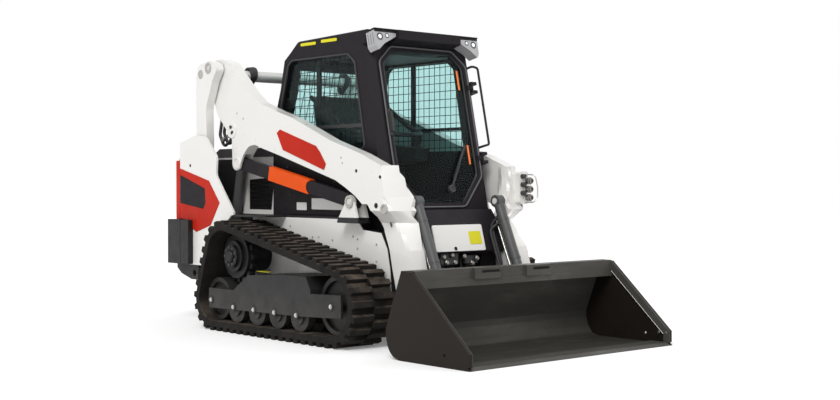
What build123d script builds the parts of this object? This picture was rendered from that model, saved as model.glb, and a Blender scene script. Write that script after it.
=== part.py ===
from build123d import *
from math import atan2, cos, degrees, radians, sin
import os

os.makedirs("parts", exist_ok=True)

# Compact track loader.  Millimetres, +Z up, ground at z = 0.
# Forward is -Y, the machine's left is +X, the origin is on the ground at mid width and mid length.
# Side outlines are lists of (y, z) points; a width is given as two distances from the centre plane.

# ---------------------------------------------------------------- driving sizes
running_gap = 0.1            # radial play of a pin in its bore
plate_gap = 6                # side play between a moving lug and the plates beside it

# stack of widths, from the cab outwards
cab_half_width = 446
cab_to_arm = 51
arm_width = 85
arm_inner_x = cab_half_width + cab_to_arm
arm_outer_x = arm_inner_x + arm_width
leg_width = 108
leg_outer_x = arm_inner_x + 3
leg_inner_x = leg_outer_x - leg_width
control_width = 43
control_x_from = arm_inner_x + 21
control_x_to = control_x_from + control_width
link_width = 62
link_x_from = arm_outer_x + 11
link_x_to = link_x_from + link_width
tower_plate = 15
tower_outer_x = link_x_to + 10 + tower_plate
lift_barrel_r, lift_rod_r = 37, 22
lift_x = arm_inner_x - 5 - lift_barrel_r
tilt_barrel_r, tilt_rod_r = 33, 19
tilt_x = leg_inner_x - 9 - tilt_barrel_r
chassis_x = leg_outer_x
chassis_plate = 12
body_panel = 6
nose_half_width = leg_inner_x - 7
engine_bay_x = lift_x - lift_barrel_r - 8

# rubber tracks
track_inner_x = chassis_x + 25
track_width = 320
track_outer_x = track_inner_x + track_width
lug_height = 28
belt_thickness = 40
lug_count = 52
lug_base = 50
lug_tip = 36
lug_crown = 0.7              # lug tips on the straights, kept off the ground by the tips on the wheels
sprocket_y, sprocket_z, sprocket_loop_r = 775, 510, 248      # loop radii reach to the lug tips
rear_idler_y, rear_idler_loop_r = 912, 214
front_idler_y, front_idler_loop_r = -440, 256
belt_play = 0.3              # wheel rims to the belt's inner face
wheel_x_from, wheel_x_to = track_inner_x + 75, track_outer_x - 75

# track frame
roller_ys = (649, 406, 167, -76)
roller_r = 98
skirt_outer_x = track_outer_x - 15
skirt_thickness = 18
skirt_inner_x = track_inner_x + 35

# heights and lengths of the chassis
belly_z = 255
deck_z = 790
bay_front_y = 905
body_rear_y = 1575
tower_rear_y = 1590

# lift linkage pivots (y, z)
arm_tip_pivot = (1240, 1832)       # arm to rear link
lobe_pivot = (989, 1152)           # arm to control link
control_pivot = (-310, 893)        # control link to chassis
link_foot = (1335, 790)            # rear link to tower
lift_eye = (1046, 1385)            # lift cylinder rod to arm
lift_foot = (1255, 500)            # lift cylinder to tower
bucket_pivot = (-870, 190)         # arm to coupler
tilt_head = (-690, 893)            # tilt cylinder to arm
tilt_eye = (-930, 350)             # tilt cylinder rod to coupler
pin_r = 26
tilt_pin_r = 20

# bucket
bucket_half_width = 863.5
bucket_front_y = -1720
bucket_plate = 12
bucket_side = 20
cutting_edge_depth = 160

# cab
cab_wall = 40
cab_floor_z = 840
cab_floor = 52
cab_inside_z = cab_floor_z + cab_floor
cab_top_z = 1900
cab_ceiling_z = cab_top_z - cab_wall
front_slope = 0.22                 # forward lean of the front face for each millimetre down
front_y_ref, front_z_ref = -368, 1670
door_gap = 6
door_thickness = 30
glass_thickness = 6


def front_y(z):
    return front_y_ref - (front_z_ref - z) * front_slope


front_tilt = atan2(front_slope, 1)
front_plane = Plane(
    origin=(0, front_y_ref, front_z_ref),
    x_dir=(1, 0, 0),
    z_dir=(0, -cos(front_tilt), sin(front_tilt)),
)


def on_front(x, z):
    """A point of the front plane, from its x and its height."""
    return (x, (z - front_z_ref) / cos(front_tilt))


def side_profile(outline, x_from, x_to, mode=Mode.ADD, corner=0, rounds=()):
    """Extrude a side outline between two distances from the centre plane; rounds lists (y, z, radius) of corners."""
    with BuildSketch(Plane.YZ.offset(x_from)) as profile:
        with BuildLine():
            Polyline(*outline, close=True)
        make_face()
        if corner:
            fillet(profile.vertices(), corner)
        for y, z, radius in rounds:
            fillet(profile.vertices().sort_by_distance((y, z, 0))[0], radius)
    extrude(profile.sketch, amount=x_to - x_from, mode=mode)


def cross_pin(centre, radius, x_from, x_to, mode=Mode.ADD):
    """A round bar, or with Mode.SUBTRACT a bore, along X."""
    with BuildSketch(Plane.YZ.offset(x_from)) as disc:
        with Locations(centre):
            Circle(radius)
    extrude(disc.sketch, amount=x_to - x_from, mode=mode)


def block(x_from, x_to, y_from, y_to, z_from, z_to, mode=Mode.ADD):
    with Locations(((x_from + x_to) / 2, (y_from + y_to) / 2, (z_from + z_to) / 2)):
        Box(x_to - x_from, y_to - y_from, z_to - z_from, mode=mode)


def rod_between(start, end, radius, x, mode=Mode.ADD):
    """A round bar in the side plane x, from one (y, z) point to another."""
    run = Vector(0, end[0] - start[0], end[1] - start[1])
    with BuildSketch(Plane(origin=(x, start[0], start[1]), x_dir=(1, 0, 0), z_dir=run)) as disc:
        Circle(radius)
    extrude(disc.sketch, amount=run.length, mode=mode)


def bar_between(start, end, radius, x_from, x_to, mode=Mode.ADD):
    """A flat bar with round ends, from one (y, z) point to another."""
    with BuildSketch(Plane.YZ.offset(x_from)) as bar:
        for centre in (start, end):
            with Locations(centre):
                Circle(radius)
        make_hull()
    extrude(bar.sketch, amount=x_to - x_from, mode=mode)


def along(start, end, distance):
    """The (y, z) point at a distance from start towards end."""
    run = Vector(end[0] - start[0], end[1] - start[1])
    return (start[0] + run.X / run.length * distance, start[1] + run.Y / run.length * distance)


def save(part, name):
    part.label = name
    export_step(part, f"parts/{name}.step")


def save_pair(part, name):
    save(part, f"{name}_left")
    save(mirror(part, about=Plane.YZ), f"{name}_right")


# ---------------------------------------------------------------- tracks
rear_idler_z = rear_idler_loop_r
front_idler_z = front_idler_loop_r
loop_wheels = (
    # y, z, radius to the lug tips
    (sprocket_y, sprocket_z, sprocket_loop_r),
    (rear_idler_y, rear_idler_z, rear_idler_loop_r),
    (front_idler_y, front_idler_z, front_idler_loop_r),
)
belt_inset = lug_height + belt_thickness
lug_root = belt_thickness / 4      # how far a lug reaches into the belt


def loop_face(inset):
    """The loop round the three wheels, drawn in by an inset from the lug tips."""
    with BuildSketch() as loop:
        for y, z, r in loop_wheels:
            with Locations((y, z)):
                Circle(r - inset)
        make_hull()
    return loop.sketch


def track_profile(x, phase):
    """The belt with one row of lugs, shifted by a share of their pitch."""
    belt = loop_face(lug_height).faces()[0].outer_wire()
    with BuildSketch(Plane.YZ.offset(x)) as profile:
        add(loop_face(lug_height))
        for i in range(lug_count):
            share = (i + phase) / lug_count
            foot = belt.position_at(share)
            run = belt.tangent_at(share)
            with Locations(Location((foot.X, foot.Y, 0), (0, 0, degrees(atan2(run.Y, run.X))))):
                Polygon(
                    (-lug_base / 2, lug_root),
                    (-lug_tip / 2, lug_crown - lug_height),
                    (lug_tip / 2, lug_crown - lug_height),
                    (lug_base / 2, lug_root),
                    align=None,
                )
        add(loop_face(belt_inset), mode=Mode.SUBTRACT)
    return profile.sketch


with BuildPart() as track:
    for row in (0, 1):
        extrude(track_profile(track_inner_x + row * track_width / 2, row / 2), amount=track_width / 2)
save_pair(track.part, "track")

# drive sprocket with its motor, idlers and rollers, inside the loop
sprocket_r = sprocket_loop_r - belt_inset - belt_play
with BuildPart() as drive_sprockets:
    cross_pin((sprocket_y, sprocket_z), 105, chassis_x, wheel_x_from + 40)
    cross_pin((sprocket_y, sprocket_z), sprocket_r - 28, wheel_x_from + 40, wheel_x_to - 45)
    with BuildSketch(Plane.YZ.offset(wheel_x_from + 60)) as teeth:
        with Locations((sprocket_y, sprocket_z)):
            with PolarLocations(sprocket_r - 26, 16):
                Rectangle(50, 34)
        with Locations((sprocket_y, sprocket_z)):
            Circle(sprocket_r, mode=Mode.INTERSECT)
    extrude(teeth.sketch, amount=45)
    cross_pin((sprocket_y, sprocket_z), 108, wheel_x_to - 45, wheel_x_to - 20)
    cross_pin((sprocket_y, sprocket_z), 78, wheel_x_to - 20, wheel_x_to)
    mirror(about=Plane.YZ)
save(drive_sprockets.part, "drive_sprockets")


def idler(y, z, loop_r, axle_to):
    rim = loop_r - belt_inset - belt_play
    cross_pin((y, z), rim, wheel_x_from, wheel_x_to)
    cross_pin((y, z), rim - 30, wheel_x_to - 25, wheel_x_to, mode=Mode.SUBTRACT)
    cross_pin((y, z), 45, wheel_x_to - 30, wheel_x_to)
    cross_pin((y, z), 24, skirt_inner_x + skirt_thickness, axle_to)


with BuildPart() as rear_idlers:
    idler(rear_idler_y, rear_idler_z, rear_idler_loop_r, skirt_outer_x - skirt_thickness)
    mirror(about=Plane.YZ)
save(rear_idlers.part, "rear_idlers")

with BuildPart() as front_idlers:
    idler(front_idler_y, front_idler_z, front_idler_loop_r, skirt_outer_x - skirt_thickness)
    mirror(about=Plane.YZ)
save(front_idlers.part, "front_idlers")

roller_z = belt_inset + belt_play + roller_r
with BuildPart() as track_rollers:
    for roller_y in roller_ys:
        for x_from, x_to in ((wheel_x_from, wheel_x_from + 55), (wheel_x_to - 25, wheel_x_to + 30)):
            cross_pin((roller_y, roller_z), roller_r, x_from, x_to)
        cross_pin((roller_y, roller_z), 52, skirt_inner_x + skirt_thickness, skirt_outer_x - skirt_thickness)
    mirror(about=Plane.YZ)
save(track_rollers.part, "track_rollers")

# track frame: outer and inner skirts, the beam over the rollers, cross tubes to the chassis
skirt_outline = [
    (952, 290), (640, 290), (598, 322), (-57, 352), (-131, 318), (-542, 331), (-542, 190),
    (-131, 172), (952, 153),
]
beam_z = roller_z + roller_r + 10
with BuildPart() as track_frame:
    for x_from in (skirt_outer_x - skirt_thickness, skirt_inner_x):
        side_profile(skirt_outline, x_from, x_from + skirt_thickness)
        for roller_y in roller_ys:
            cross_pin((roller_y, 70), 88, x_from, x_from + skirt_thickness, mode=Mode.SUBTRACT)
    side_profile([(598, beam_z), (598, 322), (470, 400), (80, 425), (-180, 425), (-230, 345), (-230, beam_z)],
                 skirt_inner_x, skirt_outer_x)
    for y in (-150, 470):
        block(chassis_x, skirt_inner_x, y - 60, y + 60, beam_z + 20, beam_z + 120)
save_pair(track_frame.part, "track_frame")

# ---------------------------------------------------------------- chassis
chassis_outline = [
    (bay_front_y, deck_z), (-270, deck_z), (-342, 715), (-520, 700), (-580, 600), (-606, 480), (-618, belly_z + 90),
    (-560, belly_z), (bay_front_y, belly_z),
]
frame_x = chassis_x - body_panel
nose_rear_y = -262
control_bracket = [(-395, deck_z - 20), (-352, 893), (-310, 936), (-268, 893), (-180, deck_z - 20)]
with BuildPart() as main_frame:
    side_profile(chassis_outline, 0, frame_x)
    # place of the nose frame, and the well under the cab
    block(0, nose_half_width, -700, nose_rear_y, belly_z, deck_z, mode=Mode.SUBTRACT)
    block(0, chassis_x - chassis_plate, nose_rear_y, bay_front_y - chassis_plate,
          belly_z + chassis_plate, deck_z - chassis_plate, mode=Mode.SUBTRACT)
    block(0, chassis_x - 100, nose_rear_y + chassis_plate, 700, deck_z - chassis_plate, deck_z, mode=Mode.SUBTRACT)
    # deck over the track
    block(chassis_x - chassis_plate, chassis_x, nose_rear_y, bay_front_y, deck_z - chassis_plate, deck_z)
    block(chassis_x, tower_outer_x - tower_plate, 500, bay_front_y, deck_z - chassis_plate, deck_z)
    # bracket of the control link with its pin
    for x_from, x_to in ((chassis_x - chassis_plate, control_x_from - plate_gap),
                         (control_x_to + plate_gap, arm_outer_x)):
        side_profile(control_bracket, x_from, x_to)
    block(chassis_x - chassis_plate, arm_outer_x, -395, -180, deck_z - 32, deck_z - 20)
    cross_pin(control_pivot, pin_r, chassis_x - chassis_plate, arm_outer_x)
    mirror(about=Plane.YZ)
save(main_frame.part, "main_frame")

# side panels of the lower body
with BuildPart() as body_panels:
    side_profile([(bay_front_y, deck_z - chassis_plate), (-281, deck_z - chassis_plate), *chassis_outline[2:]],
                 frame_x, chassis_x)
    mirror(about=Plane.YZ)
    add(main_frame.part, mode=Mode.SUBTRACT)
save(body_panels.part, "body_side_panels")

# nose under the cab, with the sloping face that carries the cover
cover_top, cover_bottom = (-664, 745), (-713, 573)
nose_outline = [
    (nose_rear_y, cab_floor_z), (-590, cab_floor_z), cover_top, cover_bottom,
    (-640, 545), (-600, 330), (-500, belly_z), (nose_rear_y, belly_z),
]
with BuildPart() as nose_frame:
    side_profile(nose_outline, -nose_half_width, nose_half_width)
    # recess with the service ports under the cover
    block(-250, 250, -760, -610, 380, 545, mode=Mode.SUBTRACT)
save(nose_frame.part, "nose_frame")

cover_half_width, cover_thickness, cover_margin = 213, 10, 3
cover_run = Vector(0, cover_bottom[0] - cover_top[0], cover_bottom[1] - cover_top[1])
cover_plane = Plane(
    origin=(0, (cover_top[0] + cover_bottom[0]) / 2, (cover_top[1] + cover_bottom[1]) / 2),
    x_dir=(1, 0, 0),
    z_dir=cover_run.cross(Vector(1, 0, 0)),
)
with BuildPart() as front_cover:
    with BuildSketch(cover_plane):
        RectangleRounded(2 * cover_half_width, cover_run.length - 2 * cover_margin, 12)
    extrude(amount=cover_thickness)
save(front_cover.part, "front_cover")

# floor and walls of the engine bay
with BuildPart() as rear_frame:
    block(-engine_bay_x, engine_bay_x, bay_front_y, body_rear_y, belly_z, deck_z)
    block(chassis_plate - engine_bay_x, engine_bay_x - chassis_plate, bay_front_y, body_rear_y,
          belly_z + chassis_plate, deck_z, mode=Mode.SUBTRACT)
save(rear_frame.part, "rear_frame")

# engine bay sides with the grille opening
bay_top_z = 1195
grille_outline = [(1085, 1035), (1085, 822), (805, 822), (770, 1052)]
with BuildPart() as bay_side:
    side_profile([(body_rear_y, deck_z), (body_rear_y, bay_top_z), (760, bay_top_z), (745, deck_z)],
                 engine_bay_x - chassis_plate, engine_bay_x)
    side_profile(grille_outline, engine_bay_x - chassis_plate, engine_bay_x, mode=Mode.SUBTRACT)
save_pair(bay_side.part, "engine_bay_side")

with BuildPart() as side_grilles:
    side_profile(grille_outline, engine_bay_x - chassis_plate + 2, engine_bay_x - 3)
    for k in range(7):
        block(engine_bay_x - 40, engine_bay_x, 815, 1065, 838 + 28 * k, 852 + 28 * k, mode=Mode.SUBTRACT)
    mirror(about=Plane.YZ)
save(side_grilles.part, "side_grilles")

with BuildPart() as engine_block:
    block(-270, 270, bay_front_y + 15, 1400, belly_z + chassis_plate, 1040)
save(engine_block.part, "engine_block")

# ---------------------------------------------------------------- rear towers
tower_foot_y = tower_rear_y - 75
tower_outline = [
    (tower_rear_y, 1303), (1357, 1357), (1232, 1338), (1091, 1194), (1101, 1065), (875, 809), (875, deck_z),
    (906, 785), (990, 718), (1062, 625), (1115, 500), (1160, 420), (tower_foot_y, 420), (tower_foot_y, 750),
    (tower_rear_y, 750),
]
foot_ear_x = lift_x + lift_barrel_r + plate_gap
with BuildPart() as tower:
    side_profile(tower_outline, tower_outer_x - tower_plate, tower_outer_x,
                 rounds=((1357, 1357, 60), (1232, 1338, 60), (1091, 1194, 60), (1101, 1065, 60), (1160, 420, 30)))
    for y_to, z_from, z_to in ((tower_rear_y, 750, 1290), (tower_foot_y, 420, 750)):
        block(engine_bay_x, tower_outer_x - tower_plate, y_to - tower_plate, y_to, z_from, z_to)
    block(engine_bay_x, tower_outer_x - tower_plate, tower_foot_y - 15, tower_rear_y, 750, 750 + tower_plate)
    block(engine_bay_x, tower_outer_x - tower_plate, 1160, tower_foot_y - 15, 420, 420 + tower_plate)
    # ear and pin of the lift cylinder's foot
    side_profile([(lift_foot[0] - 60, 435), (lift_foot[0] - 50, 520), (lift_foot[0], 560),
                  (lift_foot[0] + 50, 520), (lift_foot[0] + 60, 435)], foot_ear_x, foot_ear_x + 20)
    cross_pin(lift_foot, pin_r, engine_bay_x, foot_ear_x)
save_pair(tower.part, "tower")

# painted panel on the tower's outer face, round a recessed plate
panel_thickness = 3
weight_top_z = 745
tower_panel = [(1586, 1117), (1193, 1027), (1052, 871), (1170, 711), (1360, 658), (1586, 752)]
tower_inset = [(1586, 1072), (1244, 972), (1234, 869), (1266, 825), (1586, 864)]
with BuildPart() as tower_panels:
    side_profile(tower_panel, tower_outer_x, tower_outer_x + panel_thickness)
    side_profile(tower_inset, tower_outer_x, tower_outer_x + panel_thickness, mode=Mode.SUBTRACT)
    block(tower_outer_x, tower_outer_x + panel_thickness, tower_foot_y - 5, tower_rear_y, 400, weight_top_z + 5,
          mode=Mode.SUBTRACT)
    mirror(about=Plane.YZ)
save(tower_panels.part, "tower_panels")

with BuildPart() as tower_insets:
    side_profile(tower_inset, tower_outer_x, tower_outer_x + panel_thickness - 1)
    mirror(about=Plane.YZ)
save(tower_insets.part, "tower_insets")

# ---------------------------------------------------------------- rear end
with BuildPart() as counterweights:
    block(tower_outer_x - 100, tower_outer_x + 42, tower_foot_y, tower_foot_y + 190, 423, weight_top_z)
    fillet(counterweights.edges().filter_by(Axis.Z), 12)
    mirror(about=Plane.YZ)
save(counterweights.part, "counterweights")

tie_down_x = tower_outer_x - 55
with BuildPart() as tie_downs:
    side_profile([(1700, 422), (1700, 385), (1640, 345), (1500, 308), (1410, 308), (1400, 419), (tower_foot_y, 419),
                  (tower_foot_y, 422)], tie_down_x - 15, tie_down_x + 15)
    cross_pin((1455, 355), 24, tie_down_x - 25, tie_down_x + 25, mode=Mode.SUBTRACT)
    mirror(about=Plane.YZ)
save(tie_downs.part, "rear_tie_downs")

gate_depth = 120
gate_front_y = tower_rear_y + 10
gate_rear_y = gate_front_y + gate_depth
gate_half_width = tower_outer_x - 40
gate_low_z, gate_high_z = 770, 1200
gate_hinge = (tower_outer_x - 12, gate_rear_y - 30)           # x, y of the upright hinge axis
gate_hinge_pin_r = 7
gate_hinge_zs = (gate_low_z + 80, gate_high_z - 80)
knuckle_half_height = 15
slat_pitch = 34
with BuildPart() as tailgate:
    with BuildSketch(Plane.XY.offset(gate_low_z)) as plan:
        with BuildLine():
            Polyline((-gate_half_width, gate_front_y), (-gate_half_width, gate_rear_y - 60),
                     (80 - gate_half_width, gate_rear_y), (gate_half_width - 80, gate_rear_y),
                     (gate_half_width, gate_rear_y - 60), (gate_half_width, gate_front_y), close=True)
        make_face()
    extrude(plan.sketch, amount=gate_high_z - gate_low_z)
    fillet(tailgate.faces().sort_by(Axis.Y)[-1].edges().filter_by(Axis.X), 15)
    block(100 - gate_half_width, gate_half_width - 100, gate_front_y, gate_rear_y - 20,
          gate_low_z + 30, gate_high_z - 30, mode=Mode.SUBTRACT)
    for k in range(9):
        block(260 - gate_half_width, gate_half_width - 260, gate_front_y, gate_rear_y,
              gate_low_z + 65 + slat_pitch * k, gate_low_z + 83 + slat_pitch * k, mode=Mode.SUBTRACT)
    for z in gate_hinge_zs:
        block(gate_half_width - 50, gate_hinge[0], gate_hinge[1] - 8, gate_hinge[1] + 8,
              z - knuckle_half_height, z + knuckle_half_height)
        with Locations((*gate_hinge, z)):
            Cylinder(14, 2 * knuckle_half_height)
            Cylinder(gate_hinge_pin_r + running_gap, 2 * knuckle_half_height, mode=Mode.SUBTRACT)
save(tailgate.part, "tailgate")

with BuildPart() as gate_hinges:
    for z in gate_hinge_zs:
        for z_mid in (z - knuckle_half_height - 12, z + knuckle_half_height + 12):
            block(tower_outer_x - 24, tower_outer_x, tower_rear_y, gate_hinge[1] + 12, z_mid - 10, z_mid + 10)
        with Locations((*gate_hinge, z)):
            Cylinder(gate_hinge_pin_r, 2 * knuckle_half_height + 12)
save(gate_hinges.part, "tailgate_hinges")

with BuildPart() as tail_lamps:
    block(gate_half_width, gate_half_width + 8, gate_front_y + 12, gate_rear_y - 65, gate_low_z + 20, gate_high_z - 15)
    mirror(about=Plane.YZ)
save(tail_lamps.part, "tail_lamps")

with BuildPart() as rear_grille:
    side_profile([(760, 1196), (1590, 1196), (1590, 1215), (1500, 1262), (800, 1262), (760, 1240)],
                 chassis_plate - engine_bay_x, engine_bay_x - chassis_plate)
    for k in range(14):
        block(-330, 330, 850 + 45 * k, 872 + 45 * k, 1190, 1270, mode=Mode.SUBTRACT)
save(rear_grille.part, "rear_grille")

# ---------------------------------------------------------------- lift arms
arm_outline = [
    (1320, 1790), (1300, 1750), (1280, 1605), (1229, 1493), (1108, 1380), (1046, 1325), (1040, 1135),
    (1020, 1108), (989, 1098), (950, 1112), (935, 1150), (903, 1205), (835, 1266), (759, 1275), (664, 1248),
    (456, 1196), (-160, 1030), (-260, 985), (-363, 932), (-435, 880), (-600, 880), (-620, 1120), (-420, 1195), (-104, 1286),
    (321, 1448), (499, 1496), (720, 1569), (834, 1648), (988, 1785), (1067, 1860), (1180, 1895), (1260, 1892),
    (1312, 1850),
]
arm_rounds = (
    # y, z, radius
    (720, 1569, 300), (834, 1648, 300), (1067, 1860, 150), (1180, 1895, 150), (1260, 1892, 40), (1312, 1850, 40),
    (1320, 1790, 60), (1300, 1750, 60), (1280, 1605, 150), (1229, 1493, 150), (1046, 1325, 40), (1040, 1135, 30),
    (1020, 1108, 30), (989, 1098, 30), (950, 1112, 25), (903, 1205, 150), (835, 1266, 100), (759, 1275, 100),
    (-363, 932, 80), (-260, 985, 200),
)
knee_sections = (
    # z, rear y, rear x, crease y, crease x, front y, front x, shelf y, inner y
    (1120, -400, arm_inner_x, -612, arm_outer_x, -676, arm_inner_x - 12, -545, -600),
    (1040, -400, arm_inner_x, -630, arm_outer_x, -697, arm_inner_x - 44, -545, -620),
    (925, -376, arm_inner_x, -657, arm_outer_x, -725, leg_inner_x + 10, -545, -640),
    (840, -520, arm_inner_x, -697, arm_outer_x, -742, leg_inner_x + 5, -560, -660),
    (765, -530, leg_inner_x + 40, -660, leg_outer_x + 4, -757, leg_inner_x, -590, -690),
    (705, -560, leg_inner_x, -715, leg_outer_x, -772, leg_inner_x, -600, -715),
    (600, -605, leg_inner_x, -806, leg_outer_x, -808, leg_inner_x, -650, -740),
    (485, -632, leg_inner_x, -841, leg_outer_x, -836, leg_inner_x, -680, -770),
    (270, -690, leg_inner_x, -915, leg_outer_x, -912, leg_inner_x, -740, -850),
)
tilt_ear_x = tilt_x + tilt_barrel_r + plate_gap
with BuildPart() as arm:
    side_profile(arm_outline, arm_inner_x, arm_outer_x, rounds=arm_rounds)
    for z, rear_y, rear_x, crease_y, crease_x, leg_front_y, front_x, shelf_y, inner_y in knee_sections:
        with BuildSketch(Plane.XY.offset(z)):
            with BuildLine():
                Polyline(
                    (rear_x, rear_y), (crease_x, rear_y), (crease_x, crease_y),
                    (front_x, leg_front_y), (front_x, inner_y), (rear_x, shelf_y), close=True,
                )
            make_face()
    loft(ruled=True)
    side_profile([(-690, 271), (-915, 271), (-935, 200), (-870, 128), (-760, 160)], leg_inner_x, leg_outer_x)
    cross_pin(bucket_pivot, 62, leg_inner_x, leg_outer_x)
    # slot of the control link and the bores
    side_profile([(700, 1000), (1100, 1000), (1100, 1160), (1035, 1212), (700, 1212)],
                 control_x_from - plate_gap, control_x_to + plate_gap, mode=Mode.SUBTRACT)
    for centre in (arm_tip_pivot, lobe_pivot, bucket_pivot):
        cross_pin(centre, pin_r + running_gap, leg_inner_x, arm_outer_x, mode=Mode.SUBTRACT)
    # ear and pin of the tilt cylinder, inboard of the knee
    side_profile([(-655, 925), (-690, 935), (-722, 905), (-715, 865), (-690, 852), (-650, 865)], tilt_ear_x, leg_inner_x + 30)
    cross_pin(tilt_head, tilt_pin_r, tilt_x - tilt_barrel_r, tilt_ear_x)
save_pair(arm.part, "arm")

# painted panel on the arm's outer face
arm_panel = [(488, 1349), (452, 1371), (45, 1252), (1, 1212), (-63, 1133), (-42, 1095), (417, 1233)]
with BuildPart() as arm_panels:
    side_profile(arm_panel, arm_outer_x, arm_outer_x + panel_thickness)
    mirror(about=Plane.YZ)
save(arm_panels.part, "arm_panels")

with BuildPart() as rear_cross_tube:
    cross_pin((1050, 1772), 39, -arm_inner_x, arm_inner_x)
save(rear_cross_tube.part, "rear_cross_tube")

with BuildPart() as front_cross_tube:
    cross_pin((-762, 272), 50, -leg_inner_x, leg_inner_x)
save(front_cross_tube.part, "front_cross_tube")

# ---------------------------------------------------------------- links
link_outline = [
    (1385, 1839), (1350, 1864), (1209, 1882), (1148, 1856), (1128, 1811), (1189, 1734), (1272, 1547),
    (1262, 1316), (1288, 740), (1335, 735), (1388, 760), (1400, 1376), (1402, 1774),
]
link_rounds = (
    # y, z, radius
    (1385, 1839, 40), (1350, 1864, 50), (1209, 1882, 80), (1148, 1856, 40), (1128, 1811, 30), (1189, 1734, 150),
    (1272, 1547, 150), (1288, 740, 20), (1335, 735, 40), (1388, 760, 20),
)
with BuildPart() as rear_links:
    side_profile(link_outline, link_x_from, link_x_to, rounds=link_rounds)
    cross_pin(arm_tip_pivot, pin_r, arm_inner_x, link_x_from)
    mirror(about=Plane.YZ)
save(rear_links.part, "rear_links")

control_half_height = 43
with BuildPart() as control_links:
    bar_between(control_pivot, lobe_pivot, control_half_height, control_x_from, control_x_to)
    cross_pin(control_pivot, pin_r + running_gap, control_x_from, control_x_to, mode=Mode.SUBTRACT)
    cross_pin(lobe_pivot, pin_r, arm_inner_x, arm_outer_x)
    mirror(about=Plane.YZ)
save(control_links.part, "control_links")

# support channel carried over the rear half of the link, open inboard, with a curved notch in its front end
support_from, support_to, support_plate = 470, 940, 5
link_run = atan2(lobe_pivot[1] - control_pivot[1], lobe_pivot[0] - control_pivot[0])


def beside_link(distance, rise):
    """The (y, z) point beside the control link's centre line."""
    foot = along(control_pivot, lobe_pivot, distance)
    return (foot[0] - rise * sin(link_run), foot[1] + rise * cos(link_run))


support_half_height = control_half_height + support_plate
with BuildPart() as arm_support:
    side_profile(
        [beside_link(support_from, -support_half_height), beside_link(support_to, -support_half_height),
         beside_link(support_to, support_half_height), beside_link(support_from, support_half_height)],
        control_x_from, control_x_to + support_plate)
    bar_between(control_pivot, lobe_pivot, control_half_height, control_x_from, control_x_to, mode=Mode.SUBTRACT)
    cross_pin(beside_link(support_from - 8, 0), 40, control_x_to, control_x_to + support_plate, mode=Mode.SUBTRACT)
    mirror(about=Plane.YZ)
save(arm_support.part, "arm_support")

# ---------------------------------------------------------------- cylinders
def barrel(foot, rod_eye, x, radius, rod_r, length, bore_r):
    """Barrel with its foot eye, bored for the rod."""
    eye_half = radius - 4
    cross_pin(foot, radius + 6, x - eye_half, x + eye_half)
    rod_between(foot, along(foot, rod_eye, length), radius, x)
    cross_pin(foot, bore_r, x - radius, x + radius, mode=Mode.SUBTRACT)
    rod_between(along(foot, rod_eye, 60), along(foot, rod_eye, length + 1), rod_r + running_gap, x, mode=Mode.SUBTRACT)


def rod(foot, rod_eye, x, rod_r, eye_r, eye_half, inside):
    """Rod from inside the barrel to its eye."""
    rod_between(along(foot, rod_eye, inside), rod_eye, rod_r, x)
    cross_pin(rod_eye, eye_r, x - eye_half, x + eye_half)


lift_barrel_length = 720
with BuildPart() as lift_barrels:
    barrel(lift_foot, lift_eye, lift_x, lift_barrel_r, lift_rod_r, lift_barrel_length, pin_r + running_gap)
    mirror(about=Plane.YZ)
save(lift_barrels.part, "lift_cylinder_barrels")

with BuildPart() as lift_rods:
    rod(lift_foot, lift_eye, lift_x, lift_rod_r, 40, 26, 75)
    cross_pin(lift_eye, pin_r, lift_x + 26, arm_inner_x - 1)
    mirror(about=Plane.YZ)
save(lift_rods.part, "lift_cylinder_rods")

tilt_barrel_length, tilt_eye_half = 488, 20
with BuildPart() as tilt_barrels:
    barrel(tilt_head, tilt_eye, tilt_x, tilt_barrel_r, tilt_rod_r, tilt_barrel_length, tilt_pin_r + running_gap)
    mirror(about=Plane.YZ)
save(tilt_barrels.part, "tilt_cylinder_barrels")

with BuildPart() as tilt_rods:
    rod(tilt_head, tilt_eye, tilt_x, tilt_rod_r, 30, tilt_eye_half, 125)
    mirror(about=Plane.YZ)
save(tilt_rods.part, "tilt_cylinder_rods")

# ---------------------------------------------------------------- coupler and bucket
coupler_half_width = leg_outer_x + 60
coupler_back = [(-1012, 130), (-1012, 175), (-1107.2, 410), (-1085, 418), (-990, 178), (-990, 130)]
coupler_ears = (
    # near x, far x
    (leg_inner_x - 20, leg_inner_x - plate_gap),
    (leg_outer_x + plate_gap, leg_outer_x + 22),
)
with BuildPart() as coupler:
    side_profile(coupler_back, 0, coupler_half_width)
    for x_from, x_to in coupler_ears:
        side_profile([(-1000, 130), (-1000, 178), (-1057, 320), (-920, 245), (-830, 215), (-830, 165), (-880, 128)],
                     x_from, x_to)
    cross_pin(bucket_pivot, pin_r, coupler_ears[0][0], coupler_ears[1][1])
    for x_from in (tilt_x - tilt_eye_half - plate_gap - 10, tilt_x + tilt_eye_half + plate_gap):
        side_profile([(-1000, 178), (-1095, 414), (-975, 400), (-930, 390), (-893, 365), (-893, 330), (-945, 178)],
                     x_from, x_from + 10)
    mirror(about=Plane.YZ)
save(coupler.part, "coupler")

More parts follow.
